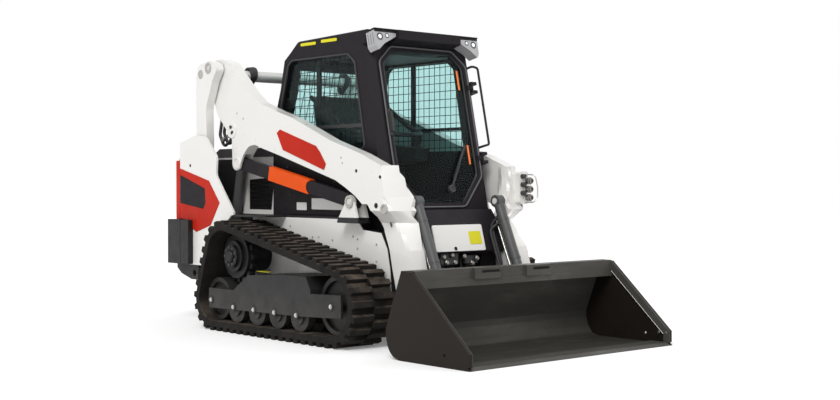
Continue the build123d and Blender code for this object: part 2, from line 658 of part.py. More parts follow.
lip_low_z, lip_top_z, lip_y = 410, 513, -1240
bucket_section = [
    (-1560, 0), (-1132, 0), (-1070, 18), (-1029, 66), (-1012, 130), (-1012, 175), (-1149, lip_top_z), (lip_y, lip_top_z),
    (lip_y, lip_low_z), (lip_y + bucket_plate, lip_low_z), (lip_y + bucket_plate, lip_top_z - bucket_plate),
    (-1157, lip_top_z - bucket_plate), (-1024, 172), (-1024, 132), (-1040, 73), (-1076, 29), (-1134, bucket_plate),
    (-1560, bucket_plate),
]
bucket_rounds = ((-1132, 0, 120), (-1070, 18, 90), (-1029, 66, 90), (-1012, 130, 90))
bucket_side_outline = [
    (-1715, 20), (-1715, 90), (lip_y, 507), (-1149, lip_top_z), (-1012, 175), (-1012, 130), (-1029, 66), (-1070, 18),
    (-1132, 0), (-1560, 0), (-1560, 20),
]
side_inner_x = bucket_half_width - bucket_side
side_strip = [(-1715, 20), (-1715, 90), (lip_y, 507), (-1212, 471), (-1670, 69), (-1670, 20)]
side_strip_thickness = 8
lip_strip_z, lip_strip_y = 452, lip_y - 6
step_y, slot_depth = lip_y - 22, 14
steps = (
    # left end x, right end x
    (-392, -180),
    (40, 250),
)
with BuildPart() as bucket:
    side_profile(bucket_section, 0, side_inner_x, rounds=bucket_rounds)
    side_profile(bucket_side_outline, side_inner_x, bucket_half_width, rounds=bucket_rounds)
    side_profile(side_strip, side_inner_x - side_strip_thickness, side_inner_x)
    block(0, side_inner_x, lip_strip_y, lip_y, lip_low_z, lip_strip_z)
    cross_pin((-1517, 65), 11, side_inner_x, bucket_half_width, mode=Mode.SUBTRACT)
    mirror(about=Plane.YZ)
    # step brackets on the lip, each with a slot
    for x_from, x_to in steps:
        block(x_from, x_to, step_y, lip_y, lip_strip_z - 4, lip_top_z)
        block(x_from + 55, x_to, step_y, step_y + slot_depth, lip_top_z - 29, lip_top_z - 13, mode=Mode.SUBTRACT)
save(bucket.part, "bucket")

with BuildPart() as cutting_edge:
    side_profile([(bucket_front_y, 0), (-1560.2, 0), (-1560.2, 19.8), (-1700, 19.8)], -bucket_half_width, bucket_half_width)
save(cutting_edge.part, "cutting_edge")

# coupler block for attachment hoses, on the left knee's front face
hose_block_x_from, hose_block_x_to = arm_outer_x - 84, arm_outer_x - 4
hose_block_y, hose_pin_length, hose_pin_r = -745, 50, 18
hose_pin_x, hose_pin_zs = arm_outer_x - 34, (915, 970, 1025)
with BuildPart() as hose_coupler:
    with BuildSketch(Plane.XZ.offset(-hose_block_y)):
        with Locations(((hose_block_x_from + hose_block_x_to) / 2, 980)):
            RectangleRounded(hose_block_x_to - hose_block_x_from, 215, 22)
    extrude(amount=-130)
    for z in hose_pin_zs:
        with Locations(Location((hose_pin_x, hose_block_y - hose_pin_length / 2, z), (90, 0, 0))):
            Cylinder(hose_pin_r, hose_pin_length)
    add(arm.part, mode=Mode.SUBTRACT)
save(hose_coupler.part, "hose_coupler_block")

# ---------------------------------------------------------------- cab
cab_outline = [
    (front_y(cab_floor_z), cab_floor_z), (front_y(cab_top_z), cab_top_z), (520, cab_top_z), (592, 1850),
    (640, 1653), (676, 1551), (702, 1469), (730, 1200), (730, deck_z), (-262, deck_z), (-262, cab_floor_z),
]
cab_hollow = [
    (front_y(cab_inside_z) + cab_wall, cab_inside_z), (front_y(cab_ceiling_z) + cab_wall, cab_ceiling_z),
    (508, cab_ceiling_z), (552, cab_ceiling_z - 24), (600, 1640), (638, 1535), (662, 1460), (690, 1195), (690, cab_inside_z),
]
side_window = [
    (-300, 1225), (-190, cab_ceiling_z - 70), (-120, cab_ceiling_z - 15), (500, cab_ceiling_z - 15),
    (545, cab_ceiling_z - 45), (628, 1545), (640, 1380), (600, 1225),
]
window_post_y = 215                # upright bar of the side window
door_half_width = cab_half_width - 71
door_outline = [
    # x, z of the left half, from the bottom up
    (door_half_width - 185, cab_floor_z + 16), (door_half_width, cab_floor_z + 215),
    (door_half_width, cab_top_z - 110), (door_half_width - 113, cab_top_z - 10),
]
side_glass_depth = 24              # glass behind the wall's outer face
door_rim = 28                      # width of the door's frame
door_proud = 8                     # the door's outer face before the front plane


def front_point(x, z, proud):
    return front_plane.from_local_coords((*on_front(x, z), proud))


def front_shape(outline, proud_from, proud_to, grow=0, mode=Mode.ADD, corner=60):
    """A symmetric outline on the front plane, grown all round and extruded forward."""
    with BuildSketch(front_plane.offset(proud_from)) as shape:
        with BuildLine():
            Polyline(*[on_front(x, z) for x, z in outline], *[on_front(-x, z) for x, z in outline[::-1]], close=True)
        make_face()
        fillet(shape.vertices(), corner)
        if grow:
            offset(amount=grow)
    extrude(shape.sketch, amount=proud_to - proud_from, mode=mode)


def front_block(x_from, x_to, z_from, z_to, proud_from, proud_to, mode=Mode.ADD):
    """A plate or block set square on the front plane."""
    corners = [(x_from, z_from), (x_to, z_from), (x_to, z_to), (x_from, z_to)]
    with BuildSketch(front_plane.offset(proud_from)) as plate:
        with BuildLine():
            Polyline(*[on_front(x, z) for x, z in corners], close=True)
        make_face()
    extrude(plate.sketch, amount=proud_to - proud_from, mode=mode)


rear_window_x = cab_half_width - 116
lamp_x_from, lamp_back_y = cab_half_width - 176, -302
with BuildPart() as cab:
    side_profile(cab_outline, 0, cab_half_width)
    chamfer(cab.faces().sort_by(Axis.Y)[0].edges().sort_by(Axis.X)[-1], 50)
    side_profile(cab_hollow, 0, cab_half_width - cab_wall, mode=Mode.SUBTRACT)
    side_profile(side_window, cab_half_width - cab_wall, cab_half_width, mode=Mode.SUBTRACT, corner=30)
    # upright bar inside the window
    block(cab_half_width - cab_wall, cab_half_width - side_glass_depth - 1, window_post_y, window_post_y + 40,
          1200, cab_ceiling_z)
    mirror(about=Plane.YZ)
    front_shape(door_outline, -200, 60, grow=door_gap, mode=Mode.SUBTRACT)
    block(-rear_window_x, rear_window_x, 500, 800, 1300, cab_ceiling_z - 70, mode=Mode.SUBTRACT)
save(cab.part, "cab_frame")

roof_low_z, roof_high_z = cab_top_z + 30, cab_top_z + 90
with BuildPart() as cab_roof:
    side_profile([(front_y(cab_top_z), cab_top_z), (-420, roof_low_z), (-417, roof_high_z), (-380, roof_high_z + 4),
                  (427, cab_top_z + 71), (520, cab_top_z)], 0, cab_half_width)
    fillet(cab_roof.faces().sort_by(Axis.X)[-1].edges().sort_by(Axis.Z)[-2:], 14)
    # places of the work lamps
    block(lamp_x_from - 2, cab_half_width + 10, -500, lamp_back_y, cab_top_z, roof_high_z + 10, mode=Mode.SUBTRACT)
    mirror(about=Plane.YZ)
save(cab_roof.part, "cab_roof")

side_panel_thickness = 6
with BuildPart() as side_panels:
    side_profile([(610, 1195), (620, 1019), (530, 800), (-255, 800), (-255, 845), (-390, 860), (-330, 1195)],
                 cab_half_width, cab_half_width + side_panel_thickness)
    mirror(about=Plane.YZ)
save(side_panels.part, "cab_side_panels")

with BuildPart() as side_glass:
    side_profile(side_window, cab_half_width - side_glass_depth, cab_half_width - side_glass_depth + glass_thickness,
                 corner=30)
    mirror(about=Plane.YZ)
save(side_glass.part, "side_glass")

rear_glass_line = [(572, cab_ceiling_z - 70), (612, 1650), (650, 1545), (676, 1465), (698, 1300)]
with BuildPart() as rear_glass:
    side_profile(rear_glass_line + [(y + glass_thickness, z) for y, z in rear_glass_line[::-1]],
                 -rear_window_x, rear_window_x)
save(rear_glass.part, "rear_glass")

lamp_outline = [
    # x, z of the left lamp
    (lamp_x_from, cab_top_z + 66), (cab_half_width, cab_top_z + 66), (cab_half_width, cab_top_z - 35),
    (cab_half_width - 18, cab_top_z - 65), (cab_half_width - 74, cab_top_z - 20), (cab_half_width - 146, cab_top_z + 15),
    (lamp_x_from, cab_top_z + 30),
]
lamp_depth = 84
with BuildPart() as work_lamps:
    with BuildSketch(front_plane.offset(1)) as lamp:
        with BuildLine():
            Polyline(*[on_front(x, z) for x, z in lamp_outline], close=True)
        make_face()
        fillet(lamp.vertices(), 6)
    extrude(lamp.sketch, amount=lamp_depth)
    mirror(about=Plane.YZ)
save(work_lamps.part, "work_lamps")

# door, hinged on the left pillar
door_hinge_x, door_hinge_proud = cab_half_width - 47, 13
door_hinge_zs = (1177, 1650)
door_hinge_pin_r = 6
with BuildPart() as door_frame:
    front_shape(door_outline, door_proud - door_thickness, door_proud)
    front_shape(door_outline, door_proud - door_thickness, door_proud, grow=-door_rim, mode=Mode.SUBTRACT)
    for z in door_hinge_zs:
        front_block(door_half_width - 20, door_hinge_x, z - 15, z + 15, door_proud, door_proud + 10)
        with BuildSketch(Plane(origin=front_point(door_hinge_x, z - 15, door_hinge_proud), x_dir=(1, 0, 0),
                               z_dir=front_plane.y_dir)) as knuckle:
            Circle(12)
        extrude(knuckle.sketch, amount=30 / cos(front_tilt))
        with BuildSketch(Plane(origin=front_point(door_hinge_x, z - 15, door_hinge_proud), x_dir=(1, 0, 0),
                               z_dir=front_plane.y_dir)) as bore:
            Circle(door_hinge_pin_r + running_gap)
        extrude(bore.sketch, amount=30 / cos(front_tilt), mode=Mode.SUBTRACT)
save(door_frame.part, "door_frame")

with BuildPart() as door_glass:
    front_shape(door_outline, -12, -12 + glass_thickness, grow=-door_rim)
save(door_glass.part, "door_glass")

with BuildPart() as door_handle:
    front_block(3 - door_half_width, 25 - door_half_width, 1310, 1476, door_proud, door_proud + 12)
    front_block(7 - door_half_width, 23 - door_half_width, 1330, 1460, door_proud + 12, door_proud + 34)
save(door_handle.part, "door_handle")

with BuildPart() as door_hinges:
    for z in door_hinge_zs:
        for z_mid in (z - 28, z + 28):
            front_block(door_hinge_x - 12, cab_half_width - 6, z_mid - 10, z_mid + 10, 2, door_hinge_proud + 12)
            front_block(cab_half_width - 21, cab_half_width - 6, z_mid - 10, z_mid + 10, -cab_wall, 2)
        with BuildSketch(Plane(origin=front_point(door_hinge_x, z - 25, door_hinge_proud), x_dir=(1, 0, 0),
                               z_dir=front_plane.y_dir)) as pin:
            Circle(door_hinge_pin_r)
        extrude(pin.sketch, amount=50 / cos(front_tilt))
    add(cab.part, mode=Mode.SUBTRACT)
save(door_hinges.part, "door_hinges")

# grab bar on the left pillar
with BuildPart() as grab_bar:
    with BuildLine() as grab_path:
        FilletPolyline(
            front_point(cab_half_width - 22, 1795, -26), front_point(cab_half_width - 22, 1795, 24),
            front_point(cab_half_width + 26, 1785, 24), front_point(cab_half_width + 26, 1265, 24),
            front_point(cab_half_width - 22, 1255, 24), front_point(cab_half_width - 22, 1255, -26), radius=18,
        )
    with BuildSketch(Plane(origin=grab_path.line @ 0, z_dir=grab_path.line % 0)) as tube:
        Circle(8)
    sweep(tube.sketch, path=grab_path.line)
    add(cab.part, mode=Mode.SUBTRACT)
save(grab_bar.part, "grab_bar")

# ---------------------------------------------------------------- inside the cab
console_x_to = cab_half_width - cab_wall - 16
console_x_from = console_x_to - 120
seat_z = 1110
seat_half_width = console_x_from - 30
cushion_thickness = 100
seat_gap = 0.3
cushion_top_z = seat_z + seat_gap + cushion_thickness
with BuildPart() as seat_base:
    block(40 - seat_half_width, seat_half_width - 40, 180, 560, cab_inside_z, seat_z)
save(seat_base.part, "seat_base")

with BuildPart() as seat_cushion:
    block(-seat_half_width, seat_half_width, 120, 520, seat_z + seat_gap, cushion_top_z)
save(seat_cushion.part, "seat_cushion")

back_foot_z = cushion_top_z + seat_gap
with BuildPart() as seat_back:
    side_profile([(470, back_foot_z), (560, back_foot_z), (625, back_foot_z + 350), (600, back_foot_z + 430),
                  (540, back_foot_z + 430)], 15 - seat_half_width, seat_half_width - 15)
save(seat_back.part, "seat_back")

with BuildPart() as consoles:
    side_profile([(60, 1170), (30, 1250), (450, 1290), (450, cab_inside_z), (300, cab_inside_z), (300, 1140)],
                 console_x_from, console_x_to)
    mirror(about=Plane.YZ)
save(consoles.part, "consoles")

with BuildPart() as joysticks:
    side_profile([(80, 1255), (60, 1340), (105, 1350), (120, 1259)], console_x_from + 45, console_x_from + 75)
    mirror(about=Plane.YZ)
save(joysticks.part, "joysticks")
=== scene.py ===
import math

import bmesh
import bpy
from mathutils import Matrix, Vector
from mathutils.bvhtree import BVHTree


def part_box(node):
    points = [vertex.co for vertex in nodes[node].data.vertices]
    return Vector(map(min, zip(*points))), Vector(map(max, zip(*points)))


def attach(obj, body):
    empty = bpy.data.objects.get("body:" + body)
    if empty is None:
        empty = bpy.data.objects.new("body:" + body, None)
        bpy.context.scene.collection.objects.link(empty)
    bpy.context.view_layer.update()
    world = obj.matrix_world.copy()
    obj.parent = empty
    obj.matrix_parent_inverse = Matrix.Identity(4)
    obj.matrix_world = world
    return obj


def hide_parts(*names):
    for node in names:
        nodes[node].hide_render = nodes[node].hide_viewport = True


# Dresses the compact track loader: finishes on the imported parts, and the small pieces around them.
# Metres, +Z up, forward is -Y, the machine's left is +X. A side is 1 for left and -1 for right.

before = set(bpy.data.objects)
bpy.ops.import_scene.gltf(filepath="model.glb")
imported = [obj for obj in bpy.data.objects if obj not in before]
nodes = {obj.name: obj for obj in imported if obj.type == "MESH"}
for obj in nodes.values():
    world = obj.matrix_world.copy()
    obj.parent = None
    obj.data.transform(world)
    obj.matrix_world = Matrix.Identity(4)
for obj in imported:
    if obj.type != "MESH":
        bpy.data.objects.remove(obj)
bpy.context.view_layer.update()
scene = bpy.context.scene
scene.view_settings.view_transform = "Standard"
sides = (1, -1)
print("stage: frame loaded,", len(nodes), "parts")


# shader nodes
def feed(tree, node, values):
    # an output is linked, anything else goes on the node's own socket
    for key, value in values.items():
        socket = node.inputs[key]
        if isinstance(value, bpy.types.NodeSocket):
            tree.links.new(value, socket)
        elif socket.type == "RGBA":
            socket.default_value = (*value, 1)
        else:
            socket.default_value = value


def add(tree, kind, output, values):
    # a node fed with these values, and the output asked for
    made = tree.nodes.new(kind)
    feed(tree, made, values)
    return made.outputs[output]


def maths(tree, operation, a, b=0.0):
    made = tree.nodes.new("ShaderNodeMath")
    made.operation = operation
    feed(tree, made, {0: a, 1: b})
    return made.outputs[0]


def split(tree, vector):
    made = tree.nodes.new("ShaderNodeSeparateXYZ")
    feed(tree, made, {0: vector})
    return made.outputs


def seenDirectly(tree):
    # 1 for camera, mirror and glass rays
    path = tree.nodes.new("ShaderNodeLightPath").outputs
    straight = maths(tree, "MAXIMUM", path["Is Camera Ray"], path["Is Glossy Ray"])
    return maths(tree, "MAXIMUM", straight, path["Is Transmission Ray"])


# camera, lights and floor
studio = {
    "cameraAt": (-5.6079, -6.797, 1.0158),
    "yaw": 41.4524, "pitch": -0.7802,      # degrees, yaw from +Y towards +X
    "lens": 55.74, "sensor": 36, "shiftX": -0.0159, "farthest": 200,
    "floorSize": 60.0, "floorColour": (0.93, 0.93, 0.93), "floorRough": 0.9, "floorLift": 0.16,
    "skyFill": 0.58,
    "sunTurn": (46, 8, -62), "sunPower": 1.9, "sunSpread": 28,
    "fillTurn": (58, 0, 70), "fillPower": 0.35, "fillSpread": 50,
}
white = (1, 1, 1)


def addWorld():
    # rays that see it directly find plain white, and the light on the object comes from the fill
    world = bpy.data.worlds.new("studio")
    scene.world = world
    world.use_nodes = True
    tree = world.node_tree
    tree.nodes.clear()
    fill = add(tree, "ShaderNodeBackground", 0, {"Color": white, "Strength": studio["skyFill"]})
    plain = add(tree, "ShaderNodeBackground", 0, {"Color": white})
    out = tree.nodes.new("ShaderNodeOutputWorld")
    feed(tree, out, {0: add(tree, "ShaderNodeMixShader", 0, {0: seenDirectly(tree), 1: fill, 2: plain})})


def addSun(name, turn, power, spread):
    lamp = bpy.data.lights.new(name, "SUN")
    lamp.energy = power
    lamp.angle = math.radians(spread)
    holder = bpy.data.objects.new(name, lamp)
    holder.rotation_euler = [math.radians(a) for a in turn]
    scene.collection.objects.link(holder)


def addCamera():
    camera = bpy.data.objects.new("camera", bpy.data.cameras.new("camera"))
    scene.collection.objects.link(camera)
    yaw, pitch = math.radians(studio["yaw"]), math.radians(studio["pitch"])
    ahead = Vector((math.sin(yaw) * math.cos(pitch), math.cos(yaw) * math.cos(pitch), math.sin(pitch)))
    camera.location = studio["cameraAt"]
    camera.rotation_euler = ahead.to_track_quat("-Z", "Y").to_euler()
    camera.data.lens = studio["lens"]
    camera.data.sensor_width = studio["sensor"]
    camera.data.shift_x = studio["shiftX"]
    camera.data.clip_end = studio["farthest"]
    scene.camera = camera


def addFloor():
    half = studio["floorSize"] / 2
    mesh = bpy.data.meshes.new("floor")
    corners = [(-half, -half, 0), (half, -half, 0), (half, half, 0), (-half, half, 0)]
    mesh.from_pydata(corners, [], [(0, 1, 2, 3)])
    floor = bpy.data.objects.new("floor", mesh)
    scene.collection.objects.link(floor)
    paper = bpy.data.materials.new("floorPaper")
    paper.use_nodes = True
    tree = paper.node_tree
    # a little light of its own where it is seen, none on the object
    lift = maths(tree, "MULTIPLY", seenDirectly(tree), studio["floorLift"])
    feed(tree, tree.nodes["Principled BSDF"], {
        "Base Color": studio["floorColour"], "Roughness": studio["floorRough"], "Specular IOR Level": 0,
        "Emission Color": white, "Emission Strength": lift})
    mesh.materials.append(paper)


addWorld()
addSun("keySun", studio["sunTurn"], studio["sunPower"], studio["sunSpread"])
addSun("fillSun", studio["fillTurn"], studio["fillPower"], studio["fillSpread"])
addCamera()
addFloor()
print("stage: camera and lights")


# finishes
grit = {
    "dust": (0.32, 0.28, 0.23), "dustScale": 9.0,
    "shadeScale": 2.3, "glossScale": 14.0, "peelScale": 320.0, "peel": 0.00008, "coatRough": 0.12,
    "softEdge": 0.003, "edgeSamples": 4,
    "rubberPatch": 11.0, "rubberGrain": 140.0, "rubberRelief": 0.0012,
    "rubbed": 5.0, "rubbedStretch": (0.6, 2.0, 2.0), "steelCloud": 2.2, "millScale": 90.0, "millRelief": 0.0006,
    "brush": 60.0, "brushRelief": 0.0001, "prisms": 60.0, "prismRelief": 0.0006,
}


def newMaterial(name):
    # the material, its tree, its shader and the place on the object
    made = bpy.data.materials.new(name)
    made.use_nodes = True
    tree = made.node_tree
    where = tree.nodes.new("ShaderNodeTexCoord").outputs["Object"]
    return made, tree, tree.nodes["Principled BSDF"], where


def darker(colour, share):
    return tuple(c * share for c in colour)


def noise(tree, where, scale, detail=3.0, rough=0.55, stretch=None):
    # a noise value; stretch squeezes it along one axis, for brushed or streaked looks
    if stretch:
        where = add(tree, "ShaderNodeMapping", 0, {"Vector": where, "Scale": stretch})
    return add(tree, "ShaderNodeTexNoise", "Fac", {
        "Vector": where, "Scale": scale, "Detail": detail, "Roughness": rough})


def remap(tree, value, low, high, toLow=0.0, toHigh=1.0):
    return add(tree, "ShaderNodeMapRange", "Result", {
        "Value": value, "From Min": low, "From Max": high, "To Min": toLow, "To Max": toHigh})


def mixColour(tree, fac, a, b):
    made = tree.nodes.new("ShaderNodeMix")
    made.data_type = "RGBA"
    feed(tree, made, {"Factor": fac, "A": a, "B": b})
    return made.outputs["Result"]


def addBump(tree, shader, height, distance, strength=1.0, edge=0.0):
    values = {"Height": height, "Distance": distance, "Strength": strength}
    if edge:                               # rounds the light on sharp edges
        soft = tree.nodes.new("ShaderNodeBevel")
        soft.samples = grit["edgeSamples"]
        feed(tree, soft, {"Radius": edge})
        values["Normal"] = soft.outputs[0]
    feed(tree, shader, {"Normal": add(tree, "ShaderNodeBump", 0, values)})


def peel(tree, shader, where):
    # the faint orange peel of sprayed paint
    addBump(tree, shader, noise(tree, where, grit["peelScale"], 2.0), grit["peel"], 0.5, grit["softEdge"])


def lowDust(tree, where, top, amount):
    # dust that thickens towards the ground, broken up by noise
    height = remap(tree, split(tree, where)["Z"], 0.0, top, 1.0, 0.0)
    patch = remap(tree, noise(tree, where, grit["dustScale"], 5.0), 0.35, 0.7, 0.25, 1.0)
    return maths(tree, "MULTIPLY", maths(tree, "MULTIPLY", height, patch), amount)


def paint(name, colour, rough, coat=0.0, shade=0.9, dustTop=0.0, dust=0.0, metal=0.0, shine=0.5):
    # sprayed paint: slow changes of shade, orange peel, dust near the ground
    made, tree, shader, where = newMaterial(name)
    slow = remap(tree, noise(tree, where, grit["shadeScale"], 4.0), 0.3, 0.7)
    base = mixColour(tree, slow, darker(colour, shade), colour)
    if dust:
        base = mixColour(tree, lowDust(tree, where, dustTop, dust), base, grit["dust"])
    gloss = remap(tree, noise(tree, where, grit["glossScale"]), 0.3, 0.7, rough * 0.85, rough * 1.2)
    feed(tree, shader, {
        "Base Color": base, "Roughness": gloss, "Metallic": metal, "Specular IOR Level": shine,
        "Coat Weight": coat, "Coat Roughness": grit["coatRough"]})
    peel(tree, shader, where)
    return made


def twoTone(name, low, high, rough, shine, frontOf, above, fade=0.002):
    # one paint below, the other on what stands above the deck at the front
    made, tree, shader, where = newMaterial(name)
    place = split(tree, where)
    ahead = remap(tree, place["Y"], frontOf, frontOf + fade, 1.0, 0.0)
    raised = remap(tree, place["Z"], above, above + fade)
    slow = remap(tree, noise(tree, where, grit["shadeScale"], 4.0), 0.3, 0.7)
    dark = mixColour(tree, slow, darker(low, 0.75), low)
    pale = mixColour(tree, slow, darker(high, 0.96), high)
    base = mixColour(tree, maths(tree, "MULTIPLY", ahead, raised), dark, pale)
    feed(tree, shader, {"Base Color": base, "Roughness": rough, "Specular IOR Level": shine})
    peel(tree, shader, where)
    return made


def rubber(name, colour, dustColour, amount, rough, shine):
    # rubber with dust lying mostly on what faces up
    made, tree, shader, where = newMaterial(name)
    patch = remap(tree, noise(tree, where, grit["rubberPatch"], 6.0, 0.65), 0.36, 0.66, 0.0, amount)
    facing = split(tree, tree.nodes.new("ShaderNodeNewGeometry").outputs["Normal"])["Z"]
    patch = maths(tree, "MULTIPLY", patch, remap(tree, facing, 0.0, 0.8, 0.12, 1.0))
    base = mixColour(tree, patch, colour, dustColour)
    feed(tree, shader, {"Base Color": base, "Roughness": rough, "Specular IOR Level": shine})
    grain = noise(tree, where, grit["rubberGrain"], 5.0, 0.7)
    addBump(tree, shader, grain, grit["rubberRelief"], 0.7, grit["softEdge"])
    return made


def bucketPaint(name, colour, wornColour, sideShadeAndFloorColour, sideX, rough, shine):
    # dark mill paint, rubbed paler in long patches where soil slides; the side plates are darkened as painted
    # shade, and a low strip of the floor is darkened with the same colour
    made, tree, shader, where = newMaterial(name)
    streak = remap(tree, noise(tree, where, grit["rubbed"], 5.0, 0.6, grit["rubbedStretch"]), 0.40, 0.75)
    cloud = remap(tree, noise(tree, where, grit["steelCloud"]), 0.35, 0.7)
    worn = maths(tree, "MULTIPLY", streak, cloud)
    place = split(tree, where)
    # painted shade: the side plates, outward of sideX, take the dark colour
    sidePlateShade = remap(tree, maths(tree, "ABSOLUTE", place["X"]), sideX - 0.004, sideX)
    # a low strip of the floor, back from the front edge, is darkened with the same colour
    low = remap(tree, place["Z"], 0.022, 0.040, 0.5, 0.0)
    ahead = remap(tree, place["Y"], -1.60, -1.54)
    base = mixColour(tree, worn, colour, wornColour)
    base = mixColour(tree, maths(tree, "MULTIPLY", low, ahead), base, sideShadeAndFloorColour)
    feed(tree, shader, {
        "Base Color": mixColour(tree, sidePlateShade, base, sideShadeAndFloorColour), "Specular IOR Level": shine,
        "Roughness": remap(tree, worn, 0.0, 1.0, rough, rough * 0.7),
        "Metallic": remap(tree, worn, 0.0, 1.0, 0.05, 0.35)})
    relief = noise(tree, where, grit["millScale"], 5.0, 0.65)
    addBump(tree, shader, relief, grit["millRelief"], 0.6, grit["softEdge"])
    return made


def metal(name, colour, rough):
    # bare metal, brushed
    made, tree, shader, where = newMaterial(name)
    grain = noise(tree, where, grit["brush"], 3.0, 0.6, (1.0, 1.0, 30.0))
    gloss = remap(tree, grain, 0.3, 0.7, rough * 0.8, rough * 1.3)
    feed(tree, shader, {"Base Color": colour, "Metallic": 1.0, "Roughness": gloss})
    addBump(tree, shader, grain, grit["brushRelief"], 0.4)
    return made


def tintedGlass(name, colour, rough, bend):
    made, tree, shader, where = newMaterial(name)
    tint = mixColour(tree, noise(tree, where, 1.5), colour, darker(colour, 0.94))
    feed(tree, shader, {"Base Color": tint, "Roughness": rough, "IOR": bend, "Transmission Weight": 1.0})
    return made


def lens(name, colour, clear):
    # moulded lens with fine prisms
    made, tree, shader, where = newMaterial(name)
    feed(tree, shader, {"Base Color": colour, "Roughness": 0.12, "Transmission Weight": clear})
    wave = add(tree, "ShaderNodeTexWave", "Fac", {"Vector": where, "Scale": grit["prisms"]})
    addBump(tree, shader, wave, grit["prismRelief"], 0.5)
    return made


def plastic(name, colour, rough, grain=0.0003, scale=700.0):
    made, tree, shader, where = newMaterial(name)
    slow = remap(tree, noise(tree, where, 5.0), 0.3, 0.7)
    feed(tree, shader, {"Base Color": mixColour(tree, slow, darker(colour, 0.85), colour), "Roughness": rough})
    addBump(tree, shader, noise(tree, where, scale, 2.0), grain, 0.6, 0.002)
    return made


blackTone, whiteTone = (0.016, 0.016, 0.017), (0.80, 0.79, 0.76)
finish = {
    "frame": twoTone("framePaint", blackTone, whiteTone, 0.42, 0.3, -0.16, 0.792),
    "white": paint("whitePaint", whiteTone, 0.32, coat=0.5, shade=0.965, dustTop=0.75, dust=0.10),
    "charcoal": paint("charcoalPaint", (0.020, 0.0175, 0.020), 0.46, shade=0.8, shine=0.08),
    "cylinder": paint("cylinderPaint", (0.088, 0.088, 0.090), 0.42, shade=0.85, shine=0.35),
    "grey": paint("greyPaint", (0.060, 0.058, 0.061), 0.48, shade=0.82, shine=0.25),
    "black": paint("blackPaint", blackTone, 0.45, shade=0.75, dustTop=0.45, dust=0.14, shine=0.25),
    "grille": paint("grillePaint", (0.009, 0.009, 0.010), 0.5, shade=0.75, shine=0.2),
    "orange": paint("orangePaint", (0.84, 0.095, 0.006), 0.45, shine=0.12),
    "red": paint("redPaint", (0.56, 0.022, 0.008), 0.42, shade=0.78, shine=0.1),
    "yellow": paint("yellowPaint", (0.74, 0.68, 0.015), 0.45, shade=0.93, shine=0.3),
    "rim": paint("rimPaint", (0.12, 0.12, 0.125), 0.4, shade=0.85, shine=0.35),
    # a darker copy of the white paint, painted shade on the bosses, spots and rivets of white parts
    "shade": paint("paintedShadeWhite", (0.46, 0.44, 0.41), 0.45),
    "marker": paint("markerOrange", (0.90, 0.20, 0.02), 0.35, shade=0.92),
    "track": rubber("trackRubber", (0.011, 0.0105, 0.010), (0.130, 0.102, 0.080), 0.75, 0.78, 0.12),
    "bucket": bucketPaint("bucketSteel", (0.058, 0.056, 0.050), (0.130, 0.125, 0.112), (0.014, 0.0105, 0.008),
        0.842, 0.46, 0.15),
    "chrome": metal("rodChrome", (0.78, 0.79, 0.81), 0.12),
    "dullSteel": metal("dullSteel", (0.26, 0.25, 0.23), 0.38),
    "steel": metal("brightSteel", (0.62, 0.61, 0.58), 0.32),
    "tube": paint("lightTube", (0.62, 0.62, 0.60), 0.4, metal=0.4),
    "glass": tintedGlass("tintedGlass", (0.69, 0.89, 0.88), 0.02, 1.14),
    "lamp": lens("lampLens", (0.52, 0.52, 0.53), 0.25),
    "redLens": lens("redLens", (0.75, 0.02, 0.015), 0.3),
    "plastic": plastic("blackPlastic", (0.022, 0.022, 0.023), 0.55),
    "vinyl": plastic("seatVinyl", (0.014, 0.016, 0.018), 0.6, 0.00002, 160.0),
    "hose": plastic("hoseRubber", (0.016, 0.016, 0.017), 0.6, 0.0004),
}

finishOf = {
    "frame": ["main_frame"],
    "white": ["engine_bay_side_left", "engine_bay_side_right", "arm_left", "arm_right", "rear_links",
        "tower_left", "tower_right", "body_side_panels", "front_cover", "hose_coupler_block"],
    "charcoal": ["cab_frame", "cab_roof", "cab_side_panels", "control_links", "door_frame", "door_hinges",
        "nose_frame", "tower_insets"],
    "red": ["tower_panels", "arm_panels"],
    "grey": ["seat_base", "tailgate", "tailgate_hinges", "rear_grille", "coupler", "front_cross_tube",
        "engine_block"],
    "cylinder": ["lift_cylinder_barrels", "tilt_cylinder_barrels"],
    "tube": ["rear_cross_tube"],
    "orange": ["arm_support"],
    "black": ["rear_frame", "counterweights", "rear_tie_downs", "track_frame_left", "track_frame_right",
        "track_rollers", "front_idlers", "rear_idlers", "drive_sprockets", "grab_bar"],
    "grille": ["side_grilles"],
    "track": ["track_left", "track_right"],
    "chrome": ["lift_cylinder_rods", "tilt_cylinder_rods"],
    "bucket": ["bucket", "cutting_edge"],
    "glass": ["side_glass", "rear_glass", "door_glass"],
    "lamp": ["work_lamps"],
    "redLens": ["tail_lamps"],
    "plastic": ["door_handle", "consoles", "joysticks"],
    "vinyl": ["seat_cushion", "seat_back"],
}
for finishName, members in finishOf.items():
    for member in members:
        nodes[member].data.materials.clear()
        nodes[member].data.materials.append(finish[finishName])
bare = sorted(set(nodes) - {member for members in finishOf.values() for member in members})
print("stage: finishes on the parts, none on", bare)


# shared ways of making a piece
def addPiece(name, mesh, finishName, body, smoothAngle=None):
    piece = bpy.data.objects.new(name, mesh)
    scene.collection.objects.link(piece)
    mesh.materials.clear()
    mesh.materials.append(finish[finishName])
    if smoothAngle:
        mesh.polygons.foreach_set("use_smooth", [True] * len(mesh.polygons))
        mesh.set_sharp_from_angle(angle=math.radians(smoothAngle))
    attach(piece, body)
    return piece


def newTree(name, inputs):
    tree = bpy.data.node_groups.new(name, "GeometryNodeTree")
    tree.interface.new_socket("Geometry", in_out="INPUT", socket_type="NodeSocketGeometry")
    for label, kind, value in inputs:
        made = tree.interface.new_socket(label, in_out="INPUT", socket_type="NodeSocket" + kind)
        if value is not None:
            made.default_value = value
    tree.interface.new_socket("Geometry", in_out="OUTPUT", socket_type="NodeSocketGeometry")
    return tree, tree.nodes.new("NodeGroupInput").outputs, tree.nodes.new("NodeGroupOutput")


